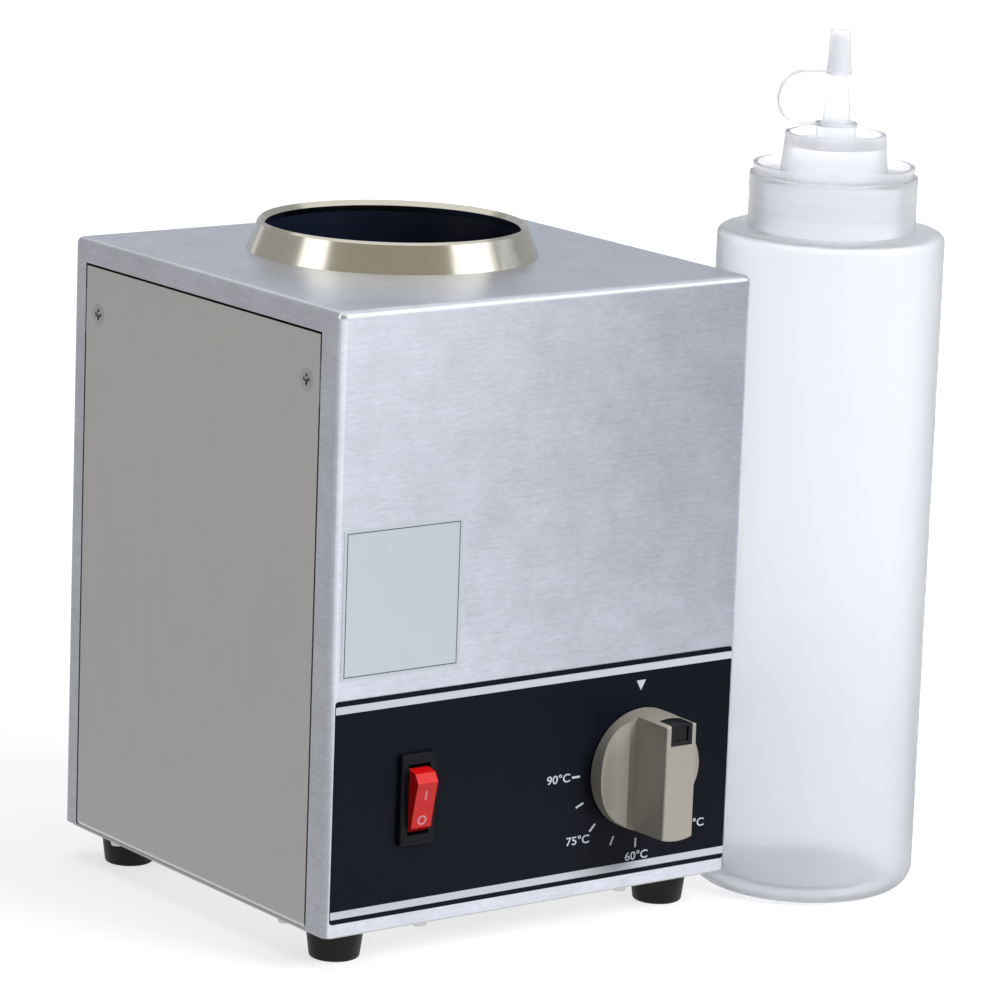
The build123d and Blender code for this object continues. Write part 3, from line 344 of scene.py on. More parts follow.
# ---------------------------------------------------------------- finishes
# This near to the side, the folded sheet is a return flange
FLANGE_SKIN = 0.6 * MM
TURNING_LINES = 2500.0
TURNED_ANISOTROPY, TURNED_CONTRAST, TURNED_CLOUD = 0.75, 0.10, 0.04
PLATING_STIPPLE, PLATING_DRIFT = 0.25, 0.12
MILKY_POLISH, MILKY_STIPPLE, MILKY_DRIFT = 0.36, 0.08, 0.02
MILKY_SCATTER, MILKY_SCATTER_DEPTH = (1.0, 1.0, 1.1), 2 * MM
MILKY_IOR = 1.2
THREAD_DEPTH, THREAD_SHARPNESS = 0.045, 4.0
FIBRE_STRETCH, FIBRE_DETAIL, FIBRE_FINENESS = (900, 900, 300), 4.0, 0.7
FIBRE_BUMP, FIBRE_DEPTH = 0.8, 0.4 * MM
FIBRE_STIPPLE, FIBRE_POLISH, FIBRE_DRIFT = 0.6, 0.95, 0.2


def bare_material(name, **constants):
    """A Principled material with its constant sockets set, plus its Object coordinates."""
    material = bpy.data.materials.new(name)
    material.use_nodes = True
    tree = material.node_tree
    shader = tree.nodes["Principled BSDF"]
    for socket, value in constants.items():
        shader.inputs[socket.replace("_", " ")].default_value = value
    place = tree.nodes.new("ShaderNodeTexCoord").outputs["Object"]
    return material, tree, shader, place


def grouped(tree, shader, name, colour, **values):
    """Place a shared group in a material, give its inputs and feed its results to the shader."""
    node = tree.nodes.new("ShaderNodeGroup")
    node.node_tree = shared_group(name)
    node.inputs["Colour"].default_value = (*colour, 1)
    for socket, value in values.items():
        feed(tree, node.inputs[socket], value)
    tree.links.new(node.outputs["Colour"], shader.inputs["Base Color"])
    tree.links.new(node.outputs["Roughness"], shader.inputs["Roughness"])
    tree.links.new(node.outputs["Normal"], shader.inputs["Normal"])
    return node


def stretched(tree, place, scale, shift=(0, 0, 0)):
    """Object coordinates scaled and moved by a Mapping node."""
    node = tree.nodes.new("ShaderNodeMapping")
    node.inputs["Scale"].default_value = scale
    node.inputs["Location"].default_value = shift
    tree.links.new(place, node.inputs["Vector"])
    return node.outputs[0]


def brushed_steel(name, colour, along, across, polish, contrast, cloud):
    """Grain that follows the folded sheet: along X on front and top, along Y on side flanges."""
    material, tree, shader, place = bare_material(name, Metallic=1.0)
    x, y, z = split(tree, place)
    away = maths(tree, "ABSOLUTE", maths(tree, "SUBTRACT", x, WARMER_X))
    half_width = (SHELL_HIGH.x - SHELL_LOW.x) / 2
    side = maths(tree, "GREATER_THAN", away, half_width - FLANGE_SKIN)
    front = maths(tree, "SUBTRACT", 1.0, side)
    run = total(tree, x, product(tree, y, side))
    cross = total(tree, z, product(tree, y, front))
    grain = tree.nodes.new("ShaderNodeCombineXYZ")
    tree.links.new(product(tree, run, along), grain.inputs[0])
    tree.links.new(product(tree, cross, across), grain.inputs[1])
    grouped(tree, shader, "brushed_grain", colour, Grain=grain.outputs[0], Place=place,
            Polish=polish, Contrast=contrast, Cloud=cloud)
    return material


def turned_steel(name, colour, polish, centre):
    """Grain that runs round an upright axis: noise over radius and height only."""
    material, tree, shader, place = bare_material(name, Metallic=1.0, Anisotropic=TURNED_ANISOTROPY)
    x, y, z = split(tree, stretched(tree, place, (1, 1, 1), shift=(-centre[0], -centre[1], 0)))
    radius = maths(tree, "SQRT", total(tree, product(tree, x, x), product(tree, y, y)))
    grain = tree.nodes.new("ShaderNodeCombineXYZ")
    tree.links.new(product(tree, radius, TURNING_LINES), grain.inputs[0])
    tree.links.new(product(tree, z, TURNING_LINES), grain.inputs[2])
    grouped(tree, shader, "brushed_grain", colour, Grain=grain.outputs[0], Place=place,
            Polish=polish, Contrast=TURNED_CONTRAST, Cloud=TURNED_CLOUD)
    tangent = tree.nodes.new("ShaderNodeTangent")
    tangent.direction_type = "RADIAL"
    tangent.axis = "Z"
    tree.links.new(tangent.outputs[0], shader.inputs["Tangent"])
    return material


def moulded_plastic(name, colour, polish, stipple, drift, **constants):
    """Plastic, rubber, film or a coating with the moulded skin."""
    material, tree, shader, place = bare_material(name, **constants)
    grouped(tree, shader, "moulded_skin", colour, Place=place, Stipple=stipple,
            Polish=polish, Drift=drift)
    return material


def plated_metal(name, colour, polish):
    """Plated, drawn or turned small metal pieces: the same skin with a metal's shine."""
    return moulded_plastic(name, colour, polish, PLATING_STIPPLE, PLATING_DRIFT, Metallic=1.0)


def thread_shade(tree, place, low, high, pitch):
    """A faint helix round the bottle's axis between two heights: the thread behind the skirt."""
    x, y, height = split(tree, place)
    angle = maths(tree, "ARCTAN2", maths(tree, "SUBTRACT", y, BOTTLE_Y),
                  maths(tree, "SUBTRACT", x, BOTTLE_X))
    # Half of each angle, because the wave below has two crests a turn
    turns = total(tree, product(tree, height, pi / pitch), product(tree, angle, 0.5))
    wave = maths(tree, "ABSOLUTE", maths(tree, "SINE", turns))
    ridge = maths(tree, "POWER", wave, THREAD_SHARPNESS)
    inside = product(tree, maths(tree, "GREATER_THAN", height, low),
                     maths(tree, "LESS_THAN", height, high))
    return maths(tree, "SUBTRACT", 1.0, product(tree, product(tree, ridge, inside), THREAD_DEPTH))


def painted_base_shade(tree, place, low, high, depth):
    """Painted shade: darker towards the base, standing in for the shadowed floor seen through the
    lower wall, and partly for the thicker blown wall there.
    """
    return ramp(tree, split(tree, place)[2], low, high, 1.0 - depth, 1.0, "SMOOTHSTEP")


def translucent_plastic(name, colour, clearness, shade=None):
    """Milky polythene: part of the light passes through its wall.

    shade builds a grey value from the tree and its Object coordinates, and darkens the colour."""
    material, tree, shader, place = bare_material(
        name, Subsurface_Weight=1.0, Subsurface_Radius=MILKY_SCATTER,
        Subsurface_Scale=MILKY_SCATTER_DEPTH, Transmission_Weight=clearness, IOR=MILKY_IOR)
    skin = grouped(tree, shader, "moulded_skin", colour, Place=place, Stipple=MILKY_STIPPLE,
                   Polish=MILKY_POLISH, Drift=MILKY_DRIFT)
    if shade:
        tree.links.new(tinted(tree, skin.outputs["Colour"], shade(tree, place)),
                       shader.inputs["Base Color"])
    return material


def fibre_blanket(name, colour):
    material, tree, shader, place = bare_material(name, Sheen_Weight=0.3)
    grouped(tree, shader, "moulded_skin", colour, Place=place, Stipple=FIBRE_STIPPLE,
            Polish=FIBRE_POLISH, Drift=FIBRE_DRIFT)
    fibres = noise(tree, stretched(tree, place, FIBRE_STRETCH), 1.0, FIBRE_DETAIL, FIBRE_FINENESS)
    tree.links.new(bumped(tree, fibres, FIBRE_BUMP, FIBRE_DEPTH), shader.inputs["Normal"])
    return material


def dress(material, *nodes):
    """Give CAD nodes a finish by assigning it to their material slots."""
    for name in nodes:
        slots = frame["nodes"][name].data.materials
        if len(slots):
            for index in range(len(slots)):
                slots[index] = material
        else:
            slots.append(material)


# ---------------------------------------------------------------- modelling helpers
EDGE_TOLERANCE = 0.001 * MM
WELD_DISTANCE = 0.01 * MM
TEXT_WELD_DISTANCE = 0.005 * MM
# Blender's own font: its capitals' share of the size, and how much bolder the print is
CAPITAL_SHARE, BOLDER, LETTER_STEPS = 0.70, 0.018, 6


def start_fresh():
    """Deselect everything, because an operator acts on all that is selected."""
    bpy.ops.object.select_all(action="DESELECT")


def only(piece):
    """Select one object and make it active, after deselecting everything."""
    start_fresh()
    piece.select_set(True)
    bpy.context.view_layer.objects.active = piece


def named(name):
    """The object just added, under its own name."""
    piece = bpy.context.object
    piece.name = name
    piece.data.name = name
    return piece


@contextmanager
def editing():
    """Edit mode with everything selected, and object mode again at the end."""
    bpy.ops.object.mode_set(mode="EDIT")
    bpy.ops.mesh.select_all(action="SELECT")
    yield
    bpy.ops.object.mode_set(mode="OBJECT")


def drawn_out(move, steps=1):
    """Extrude what is selected along a move, in equal steps."""
    step = tuple(length / steps for length in move)
    for _ in range(steps):
        bpy.ops.mesh.extrude_region_move(TRANSFORM_OT_translate={"value": step})


def closed_up(weld=None):
    """Merge doubles, where a distance is given, and point all faces outwards."""
    bpy.ops.mesh.select_all(action="SELECT")
    if weld:
        bpy.ops.mesh.remove_doubles(threshold=weld)
    bpy.ops.mesh.normals_make_consistent(inside=False)


def rounded(piece, width):
    """Round a piece's sharp edges with an applied bevel."""
    bevel = piece.modifiers.new("edge", "BEVEL")
    bevel.width = width
    bevel.segments = 3
    bevel.limit_method = "ANGLE"
    only(piece)
    bpy.ops.object.modifier_apply(modifier="edge")


def applied(piece):
    """Apply an object's place, turn and scale to its mesh."""
    only(piece)
    bpy.ops.object.transform_apply(location=True, rotation=True, scale=True)


def settle(piece, material, body):
    """Apply the place, shade by angle, give the finish and let the piece ride."""
    applied(piece)
    bpy.ops.object.shade_smooth_by_angle(angle=SMOOTH_ANGLE)
    piece.data.materials.clear()
    piece.data.materials.append(material)
    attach(piece, body)


def bevelled_slab(name, centre, size, bevel, turn=(0, 0, 0), segments=2):
    """A cube shaped in edit mode: scaled, then the edges through its thickness bevelled."""
    start_fresh()
    bpy.ops.mesh.primitive_cube_add(size=1, location=(0, 0, 0))
    piece = named(name)
    with editing():
        bpy.ops.mesh.select_mode(type="EDGE")
        bpy.ops.transform.resize(value=size)
        bpy.ops.mesh.select_all(action="DESELECT")
    for edge in piece.data.edges:
        first, second = (piece.data.vertices[index].co for index in edge.vertices)
        edge.select = abs(first.y - second.y) > EDGE_TOLERANCE
    bpy.ops.object.mode_set(mode="EDIT")
    bpy.ops.mesh.bevel(offset=bevel, segments=segments, affect="EDGES")
    bpy.ops.object.mode_set(mode="OBJECT")
    piece.rotation_euler = turn
    piece.location = centre
    return piece


def printed_text(name, words, height, thickness):
    """Text lying in its own XY plane, centred, with a little body, turned into a mesh."""
    start_fresh()
    bpy.ops.object.text_add(location=(0, 0, 0))
    letters = named(name).data
    letters.body = words
    letters.align_x = "CENTER"
    letters.align_y = "CENTER"
    letters.size = height / CAPITAL_SHARE
    letters.offset = height * BOLDER
    letters.extrude = thickness / 2
    letters.resolution_u = LETTER_STEPS
    bpy.ops.object.convert(target="MESH")
    piece = bpy.context.object
    with editing():
        closed_up(TEXT_WELD_DISTANCE)
    return piece


# ---------------------------------------------------------------- steelwork
class WARMER_OT_steelwork(bpy.types.Operator):
    """Finish the folded housing, the side panels, the collar, the well and the base"""

    bl_idname = "warmer.steelwork"
    bl_label = "Steelwork"

    def execute(self, context):
        tone = colours()
        dress(brushed_steel("housing_brushed", tone.steel, along=40, across=1100, polish=0.33,
                            contrast=0.20, cloud=0.60), "housing_shell")
        dress(brushed_steel("side_brushed", tone.side_steel, along=900, across=14, polish=0.34,
                            contrast=0.05, cloud=0.08), "side_panel_left", "side_panel_right")
        well_centre = ((COLLAR_LOW.x + COLLAR_HIGH.x) / 2, (COLLAR_LOW.y + COLLAR_HIGH.y) / 2)
        dress(turned_steel("collar_turned", tone.collar, polish=0.13, centre=well_centre),
              "collar_ring")
        dress(moulded_plastic("well_coated", tone.well, polish=0.35, stipple=0.2, drift=0.1,
                              Coat_Weight=0.25, Coat_Roughness=0.2), "well_can")
        dress(brushed_steel("base_plated", tone.zinc, along=40, across=40, polish=0.42,
                            contrast=0.1, cloud=0.16), "base_plate", "well_bracket", "bulb_clip")
        return {"FINISHED"}


class WARMER_OT_fasteners(bpy.types.Operator):
    """Finish the screws and nuts"""

    bl_idname = "warmer.fasteners"
    bl_label = "Fasteners"

    def execute(self, context):
        dress(plated_metal("zinc_plated", colours().zinc, polish=0.28),
              "side_panel_screws", "base_screws", "foot_screws", "foot_nuts", "inlet_screws",
              "inlet_nuts", "heater_clamp_screws", "thermostat_screws", "terminal_screws",
              "earth_nut", "thermostat_spindle")
        return {"FINISHED"}


class WARMER_OT_feet(bpy.types.Operator):
    """Finish the rubber feet"""

    bl_idname = "warmer.feet"
    bl_label = "Feet"

    def execute(self, context):
        dress(moulded_plastic("foot_rubber", colours().rubber, polish=0.5, stipple=0.5, drift=0.1,
                              Specular_IOR_Level=0.25),
              "foot_front_left", "foot_front_right", "foot_rear_left", "foot_rear_right")
        return {"FINISHED"}


# ---------------------------------------------------------------- control label
# How far printing reaches into the film under it
INK_SINK = 0.01 * MM
# The stripes' and ticks' corners, in ink thicknesses
STRIPE_CORNER, TICK_CORNER, MARK_CORNER = 4, 2, 0.2
START_MARK_WIDTH, START_MARK_HEIGHT = 3.9 * MM, 3.5 * MM
START_MARK_PLACE = (-0.3 * MM, 28.9 * MM)
TICK_WIDTH = 0.75 * MM
# Clockwise in degrees from the top
TICK_ANGLES = (135, 157.5, 180, 202.5, 225, 247.5, 270)
# Each number's middle, in millimetres across and up from the scale's middle
NUMBER_PLACES = (("45", 24.2, -22.8), ("60", 0.6, -30.7), ("75", -24.3, -22.1), ("90", -33.2, 0.0))
NUMBER_STRETCH = 1.16
# The bare plate, from the front's middle and the housing's foot
PLATE_PLACE = (-55.8 * MM, 109.3 * MM)
PLATE_THICKNESS, PLATE_CORNER, PLATE_CORNER_STEPS = 0.12 * MM, 0.8 * MM, 4
PLATE_LINE_INSET, PLATE_LINE_WIDTH, PLATE_LINE_THICKNESS = 1.1 * MM, 0.35 * MM, 0.03 * MM
PLATE_LINE_RISE = 0.11 * MM
PLATE_LINE_GREY = (0.10, 0.11, 0.13)


def ink_material():
    return bpy.data.materials.get("ink_white") or moulded_plastic(
        "ink_white", colours().ink, polish=0.42, stipple=0.15, drift=0.05)


def ink_depth():
    """The y of the middle of the label's printing."""
    return LABEL_Y - sizes().ink_thickness / 2 + INK_SINK


class WARMER_OT_control_label(bpy.types.Operator):
    """Finish the black label and print its two white stripes"""

    bl_idname = "warmer.control_label"
    bl_label = "Control label"

    def execute(self, context):
        size = sizes()
        dress(moulded_plastic("label_film", colours().label, polish=0.34, stipple=0.10, drift=0.10,
                              Specular_IOR_Level=0.08), "control_overlay")
        middle = (LABEL_LOW.x + LABEL_HIGH.x) / 2
        length = LABEL_HIGH.x - LABEL_LOW.x
        rise = size.stripe_inset + size.stripe_height / 2
        for end, z in (("lower", LABEL_LOW.z + rise), ("upper", LABEL_HIGH.z - rise)):
            stripe = bevelled_slab(
                "label_stripe_" + end, (middle, ink_depth(), z),
                (length, size.ink_thickness, size.stripe_height),
                size.ink_thickness * STRIPE_CORNER)
            settle(stripe, ink_material(), "warmer")
        return {"FINISHED"}


class WARMER_OT_dial_scale(bpy.types.Operator):
    """Print the knob's mark, ticks and temperature numbers"""

    bl_idname = "warmer.dial_scale"
    bl_label = "Dial scale"

    def execute(self, context):
        self.start_mark()
        self.ticks()
        self.numbers()
        return {"FINISHED"}

    def start_mark(self):
        """A small triangle that points down at the knob."""
        ink = sizes().ink_thickness
        start_fresh()
        bpy.ops.mesh.primitive_cylinder_add(vertices=3, radius=1, depth=1, location=(0, 0, 0))
        mark = named("dial_start_mark")
        # A three-sided cylinder of radius 1 is the root of 3 wide and 1.5 high
        mark.scale = (START_MARK_WIDTH / sqrt(3), START_MARK_HEIGHT / 1.5, ink)
        applied(mark)
        with editing():
            bpy.ops.mesh.select_mode(type="EDGE")
            bpy.ops.mesh.bevel(offset=ink * MARK_CORNER, segments=1, affect="EDGES")
        mark.rotation_euler = (QUARTER_TURN, HALF_TURN, 0)
        across, up = START_MARK_PLACE
        mark.location = (SCALE_X + across, ink_depth(), SCALE_Z + up)
        settle(mark, ink_material(), "warmer")

    def ticks(self):
        size = sizes()
        middle = (size.tick_inner + size.tick_outer) / 2
        length = size.tick_outer - size.tick_inner
        for number, angle in enumerate(TICK_ANGLES):
            turn = radians(angle)
            tick = bevelled_slab(
                f"dial_tick_{number + 1}",
                (SCALE_X + middle * sin(turn), ink_depth(), SCALE_Z + middle * cos(turn)),
                (TICK_WIDTH, size.ink_thickness, length),
                size.ink_thickness * TICK_CORNER, turn=(0, turn, 0))
            settle(tick, ink_material(), "warmer")

    def numbers(self):
        size = sizes()
        for number, across, up in NUMBER_PLACES:
            words = printed_text(f"dial_number_{number}", number + "°C", size.digit_height,
                                 size.ink_thickness)
            words.scale = (NUMBER_STRETCH, 1, 1)
            words.rotation_euler = (QUARTER_TURN, 0, 0)
            words.location = (SCALE_X + across * MM, ink_depth(), SCALE_Z + up * MM)
            settle(words, ink_material(), "warmer")


class WARMER_OT_bare_plate(bpy.types.Operator):
    """Add the bare silver plate above the control label"""

    bl_idname = "warmer.bare_plate"
    bl_label = "Bare plate"

    def execute(self, context):
        size = sizes()
        x, z = WARMER_X + PLATE_PLACE[0], SHELL_LOW.z + PLATE_PLACE[1]
        plate = bevelled_slab(
            "bare_plate", (x, FRONT_Y - PLATE_THICKNESS / 2, z),
            (size.plate_width, PLATE_THICKNESS, size.plate_height), PLATE_CORNER,
            segments=PLATE_CORNER_STEPS)
        settle(plate, moulded_plastic("plate_film", colours().plate, polish=0.38, stipple=0.12,
                                      drift=0.05, Metallic=0.35), "warmer")
        self.line(size, x, z)
        return {"FINISHED"}

    def line(self, size, x, z):
        """A thin grey line printed just inside the plate's edge."""
        start_fresh()
        bpy.ops.mesh.primitive_plane_add(size=1, location=(0, 0, 0))
        line = named("bare_plate_line")
        with editing():
            bpy.ops.transform.resize(value=(size.plate_width - 2 * PLATE_LINE_INSET,
                                            size.plate_height - 2 * PLATE_LINE_INSET, 1))
            bpy.ops.mesh.inset(thickness=PLATE_LINE_WIDTH, depth=0)
            bpy.ops.mesh.delete(type="FACE")
            bpy.ops.mesh.select_all(action="SELECT")
            drawn_out((0, 0, PLATE_LINE_THICKNESS))
            closed_up()
        line.rotation_euler = (QUARTER_TURN, 0, 0)
        line.location = (x, FRONT_Y - PLATE_LINE_RISE, z)
        settle(line, moulded_plastic("ink_grey", PLATE_LINE_GREY, polish=0.45, stipple=0.1,
                                     drift=0.05), "warmer")


# ---------------------------------------------------------------- switch
# The rocker's face is a shallow hollow: its radius, and its lowest height over the pivot
ROCKER_DISH, ROCKER_VALLEY = 160.0 * MM, 5.7 * MM
ROCKER_MARKS = (("rocker_mark_on", "I", 3.2 * MM), ("rocker_mark_off", "O", -5.6 * MM))
ROCKER_MARK_HEIGHT, ROCKER_MARK_THICKNESS = 3.2 * MM, 0.16 * MM
ROCKER_INK = (0.70, 0.36, 0.38)


class WARMER_OT_switch(bpy.types.Operator):
    """Finish the switch and print the on and off marks on its rocker"""

    bl_idname = "warmer.switch"
    bl_label = "Switch"

    def execute(self, context):
        tone = colours()
        dress(moulded_plastic("switch_black", tone.black, polish=0.36, stipple=0.2, drift=0.1,
                              Specular_IOR_Level=0.12), "switch_housing")
        dress(moulded_plastic("rocker_gloss", tone.rocker, polish=0.26, stipple=0.05, drift=0.05,
                              Coat_Weight=0.12, Coat_Roughness=0.12, Specular_IOR_Level=0.3),
              "switch_rocker")
        ink = moulded_plastic("rocker_ink", ROCKER_INK, polish=0.35, stipple=0.05, drift=0.02)
        pivot = Vector(ROCKER["pos_m"])
        tilt = radians(ROCKER["range_deg"][1] / 2)
        outwards = Vector((0, -cos(tilt), -sin(tilt)))
        upwards = Vector((0, -sin(tilt), cos(tilt)))
        for name, words, along in ROCKER_MARKS:
            from_centre = sqrt(ROCKER_DISH ** 2 - along ** 2)
            face = ROCKER_VALLEY + ROCKER_DISH - from_centre
            lean = atan2(along, from_centre)
            normal = outwards * cos(lean) - upwards * sin(lean)
            up = upwards * cos(lean) + outwards * sin(lean)
            mark = printed_text(name, words, ROCKER_MARK_HEIGHT, ROCKER_MARK_THICKNESS)
            turn = Matrix((Vector((1, 0, 0)), up, normal)).transposed().to_4x4()
            place = pivot + outwards * face + upwards * along
            mark.matrix_world = Matrix.Translation(place) @ turn
            settle(mark, ink, "rocker")
        return {"FINISHED"}


# ---------------------------------------------------------------- knob
class WARMER_OT_knob(bpy.types.Operator):
    """Finish the knob and its black pointer"""

    bl_idname = "warmer.knob"
    bl_label = "Knob"

    def execute(self, context):
        tone = colours()
        dress(moulded_plastic("knob_moulded", tone.knob, polish=0.36, stipple=0.35, drift=0.06,
                              Metallic=0.25), "knob")
        dress(moulded_plastic("pointer_black", tone.black, polish=0.3, stipple=0.2, drift=0.1,
                              Specular_IOR_Level=0.25), "knob_pointer")
        return {"FINISHED"}


# ---------------------------------------------------------------- hidden works
TEMPERED_STEEL = (0.42, 0.36, 0.29)
FIBRE = (0.82, 0.81, 0.76)
PHENOLIC = (0.055, 0.026, 0.016)
BRASS = (0.62, 0.46, 0.20)
COPPER = (0.70, 0.34, 0.20)
NYLON = (0.72, 0.71, 0.66)


class WARMER_OT_works(bpy.types.Operator):
    """Finish the heater, thermostat, terminals and power inlet"""

    bl_idname = "warmer.works"
    bl_label = "Inner works"

    def execute(self, context):
        dress(brushed_steel("heater_tinted", TEMPERED_STEEL, along=30, across=500, polish=0.4,
                            contrast=0.12, cloud=0.2), "heater_band")
        dress(fibre_blanket("blanket", FIBRE), "insulation_sleeve")
        dress(moulded_plastic("phenolic", PHENOLIC, polish=0.45, stipple=0.4, drift=0.12),
              "thermal_cutout", "thermostat_body")
        dress(plated_metal("brass", BRASS, polish=0.3), "switch_terminals", "inlet_pins",
              "earth_stud")
        dress(plated_metal("copper", COPPER, polish=0.32), "thermostat_bulb", "capillary_tube")
        dress(moulded_plastic("nylon", NYLON, polish=0.45, stipple=0.25, drift=0.05),
              "terminal_block")
        dress(moulded_plastic("inlet_black", colours().black, polish=0.35, stipple=0.4, drift=0.1),
              "power_inlet")
        return {"FINISHED"}


# ---------------------------------------------------------------- bottle
# Painted shade on the bottle: full below the first height, gone above the second, and how much
# darker it makes the colour
SHADE_FULL_BELOW, SHADE_GONE_ABOVE, BASE_SHADE_DEPTH = 35 * MM, 130 * MM, 0.075
# The thread's ends over the skirt's edge, and its pitch
THREAD_LOW, THREAD_HIGH, THREAD_PITCH = 2.5 * MM, 19.0 * MM, 4.2 * MM
RING_HEIGHT, RING_RADIUS, RING_STEPS, RING_ROUNDING = 1.2 * MM, 7.2 * MM, 64, 0.3 * MM
NOZZLE_RADIUS = 5.3 * MM
# The loop starts clear of the nozzle and ends a hair outside the tip cap
STRAP_CLEAR, STRAP_END_GAP = 0.6 * MM, 0.05 * MM
STRAP_RUN_STEPS = 4
# The edges' rounding, in strap thicknesses
STRAP_ROUNDING = 0.3
STRAP_HEADING = radians(158.6)


class WARMER_OT_bottle(bpy.types.Operator):
    """Finish the squeeze bottle, its cap and its tip cap"""

    bl_idname = "warmer.bottle"
    bl_label = "Squeeze bottle"

    def execute(self, context):
        tone = colours()

        # The bottle's colour darkened towards its base: painted shade of the shadowed floor seen
        # through the wall
        def shaded_bottle_base(tree, place):
            return painted_base_shade(tree, place, SHADE_FULL_BELOW, SHADE_GONE_ABOVE, BASE_SHADE_DEPTH)

        def threaded_skirt(tree, place):
            return thread_shade(tree, place, CAP_LOW.z + THREAD_LOW, CAP_LOW.z + THREAD_HIGH,
                                THREAD_PITCH)

        dress(translucent_plastic("bottle_milky", tone.bottle, clearness=0.85, shade=shaded_bottle_base),
              "bottle_body")
        dress(translucent_plastic("cap_milky", tone.cap, clearness=0.97, shade=threaded_skirt),
              "bottle_cap")
        dress(translucent_plastic("tip_milky", tone.cap, clearness=0.85), "tip_cap")
        return {"FINISHED"}


class WARMER_OT_strap(bpy.types.Operator):
    """Model the loop that ties the tip cap to the nozzle, and its ring round the nozzle"""

    bl_idname = "warmer.strap"
    bl_label = "Tip cap strap"

    def execute(self, context):
        milky = bpy.data.materials["tip_milky"]
        self.loop(milky)
        self.ring(milky)
        return {"FINISHED"}

    def loop(self, milky):
        """A flat band, drawn out, spun through half a turn and drawn back to the tip cap."""
        size = sizes()
        low = STRAP_LOW.z + RING_HEIGHT / 2
        high = STRAP_HIGH.z - size.strap_thickness / 2
        bend = (high - low) / 2
        start = NOZZLE_RADIUS + STRAP_CLEAR
        turn_start = size.strap_reach - bend
        end = (TIP_HIGH.x - TIP_LOW.x) / 2 + STRAP_END_GAP
        start_fresh()
        bpy.ops.mesh.primitive_plane_add(size=1, location=(0, 0, 0), rotation=(0, QUARTER_TURN, 0))
        strap = named("strap_loop")
        applied(strap)
        with editing():
            bpy.ops.transform.resize(value=(1, size.strap_width, size.strap_thickness))
            bpy.ops.transform.translate(value=(start, 0, low))
            drawn_out((turn_start - start, 0, 0), STRAP_RUN_STEPS)
            bpy.ops.mesh.spin(steps=size.strap_steps, angle=HALF_TURN,
                              center=(turn_start, 0, low + bend), axis=(0, 1, 0))
            drawn_out((end - turn_start, 0, 0), STRAP_RUN_STEPS)
            closed_up(WELD_DISTANCE)
        rounded(strap, size.strap_thickness * STRAP_ROUNDING)
        strap.rotation_euler = (0, 0, STRAP_HEADING)
        strap.location = (BOTTLE_X, BOTTLE_Y, 0)
        applied(strap)
        bpy.ops.object.shade_smooth_by_angle(angle=STRAP_SMOOTH_ANGLE)
        strap.data.materials.append(milky)
        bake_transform(strap)
        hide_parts("tip_strap")

    def ring(self, milky):
        """The ring round the nozzle's foot."""
        start_fresh()
        bpy.ops.mesh.primitive_circle_add(vertices=RING_STEPS, radius=RING_RADIUS,
                                          fill_type="NOTHING", location=(0, 0, 0))
        ring = named("strap_ring")
        inwards = NOZZLE_RADIUS / RING_RADIUS
        with editing():
            bpy.ops.mesh.extrude_edges_move()
            bpy.ops.transform.resize(value=(inwards, inwards, 1))
            bpy.ops.mesh.select_all(action="SELECT")
            drawn_out((0, 0, RING_HEIGHT))
            closed_up()
        rounded(ring, RING_ROUNDING)
        ring.location = (BOTTLE_X, BOTTLE_Y, STRAP_LOW.z)
        settle(ring, milky, "cap")


# ---------------------------------------------------------------- stage
WHITE = (1, 1, 1)
# Lamps: name, place, size in metres, watts, colour
LAMPS = (
    ("key", (1.0, -1.85, 1.75), 1.4, 69.0, (0.96, 0.98, 1.0)),
    ("top", (0.0, 0.1, 2.4), 1.8, 30.0, (0.98, 0.99, 1.0)),
)
LAMP_AIM = Vector((0, 0, 0.12))
# Cards that only reflections see: name, place, width and height in metres, glow
STANDING_CARDS = (
    ("card_behind_camera", (-1.27, -1.55, 1.15), (5.1, 2.0), (0.41, 0.39, 0.33)),
    ("card_back", (0.95, 1.35, 0.55), (2.6, 1.4), (0.50, 0.525, 0.560)),
    ("card_left", (-0.77, 1.10, 0.62), (1.45, 1.2), (0.43, 0.42, 0.41)),
    ("card_far_right", (1.16, 0.12, 0.62), (1.7, 1.2), (0.44, 0.45, 0.46)),
    ("card_right", (0.42, -0.30, 0.10), (0.5, 0.5), (0.42, 0.425, 0.440)),
    ("card_band_left", (-1.20, 0.31, 0.80), (0.52, 1.1), (2.0, 2.0, 2.0)),
    ("card_band_right", (0.73, -1.03, 0.80), (0.85, 1.1), (2.0, 2.0, 2.0)),
)
LYING_CARDS = (
    ("card_floor_left", (-1.13, 0.75, 0.002), (2.0, 2.2), (0.465, 0.460, 0.455)),
    ("card_floor_right", (0.40, -0.42, 0.002), (0.55, 0.8), (0.73, 0.74, 0.775)),
)
CARD_AIM = Vector((-0.04, 0.0, 0.11))
FLOOR_SIZE, FLOOR_CUTS = 8, 3
FLOOR_COLOUR, FLOOR_ROUGHNESS = (0.40, 0.40, 0.41), 0.9
# The floor's own glow, which keeps it pale: it rises between two distances from the object
GLOW_NEAR, GLOW_FAR, GLOW_LOW, GLOW_HIGH = 0.3, 1.6, 0.68, 0.96
AMBIENT_COLOUR, AMBIENT_STRENGTH = (0.94, 0.97, 1.0), 0.15
CAMERA_YAW, CAMERA_PITCH, CAMERA_ROLL = radians(36.42), radians(12.19), radians(2.08)
# From the warmer's middle, on the level of the housing's foot
CAMERA_PLACE = (-0.9846, -1.3895, 0.4897)
SENSOR_WIDTH, FOCAL_LENGTH, CLIP_START = 36.0, 185.6, 0.1


def shown(tree):
    """1 for camera, glossy and transmission rays."""
    rays = tree.nodes.new("ShaderNodeLightPath")
    straight = maths(tree, "MAXIMUM", rays.outputs["Is Camera Ray"], rays.outputs["Is Glossy Ray"])
    return maths(tree, "MAXIMUM", straight, rays.outputs["Is Transmission Ray"])


def emission(tree, colour):
    node = tree.nodes.new("ShaderNodeEmission")
    node.inputs["Color"].default_value = (*colour, 1)
    return node


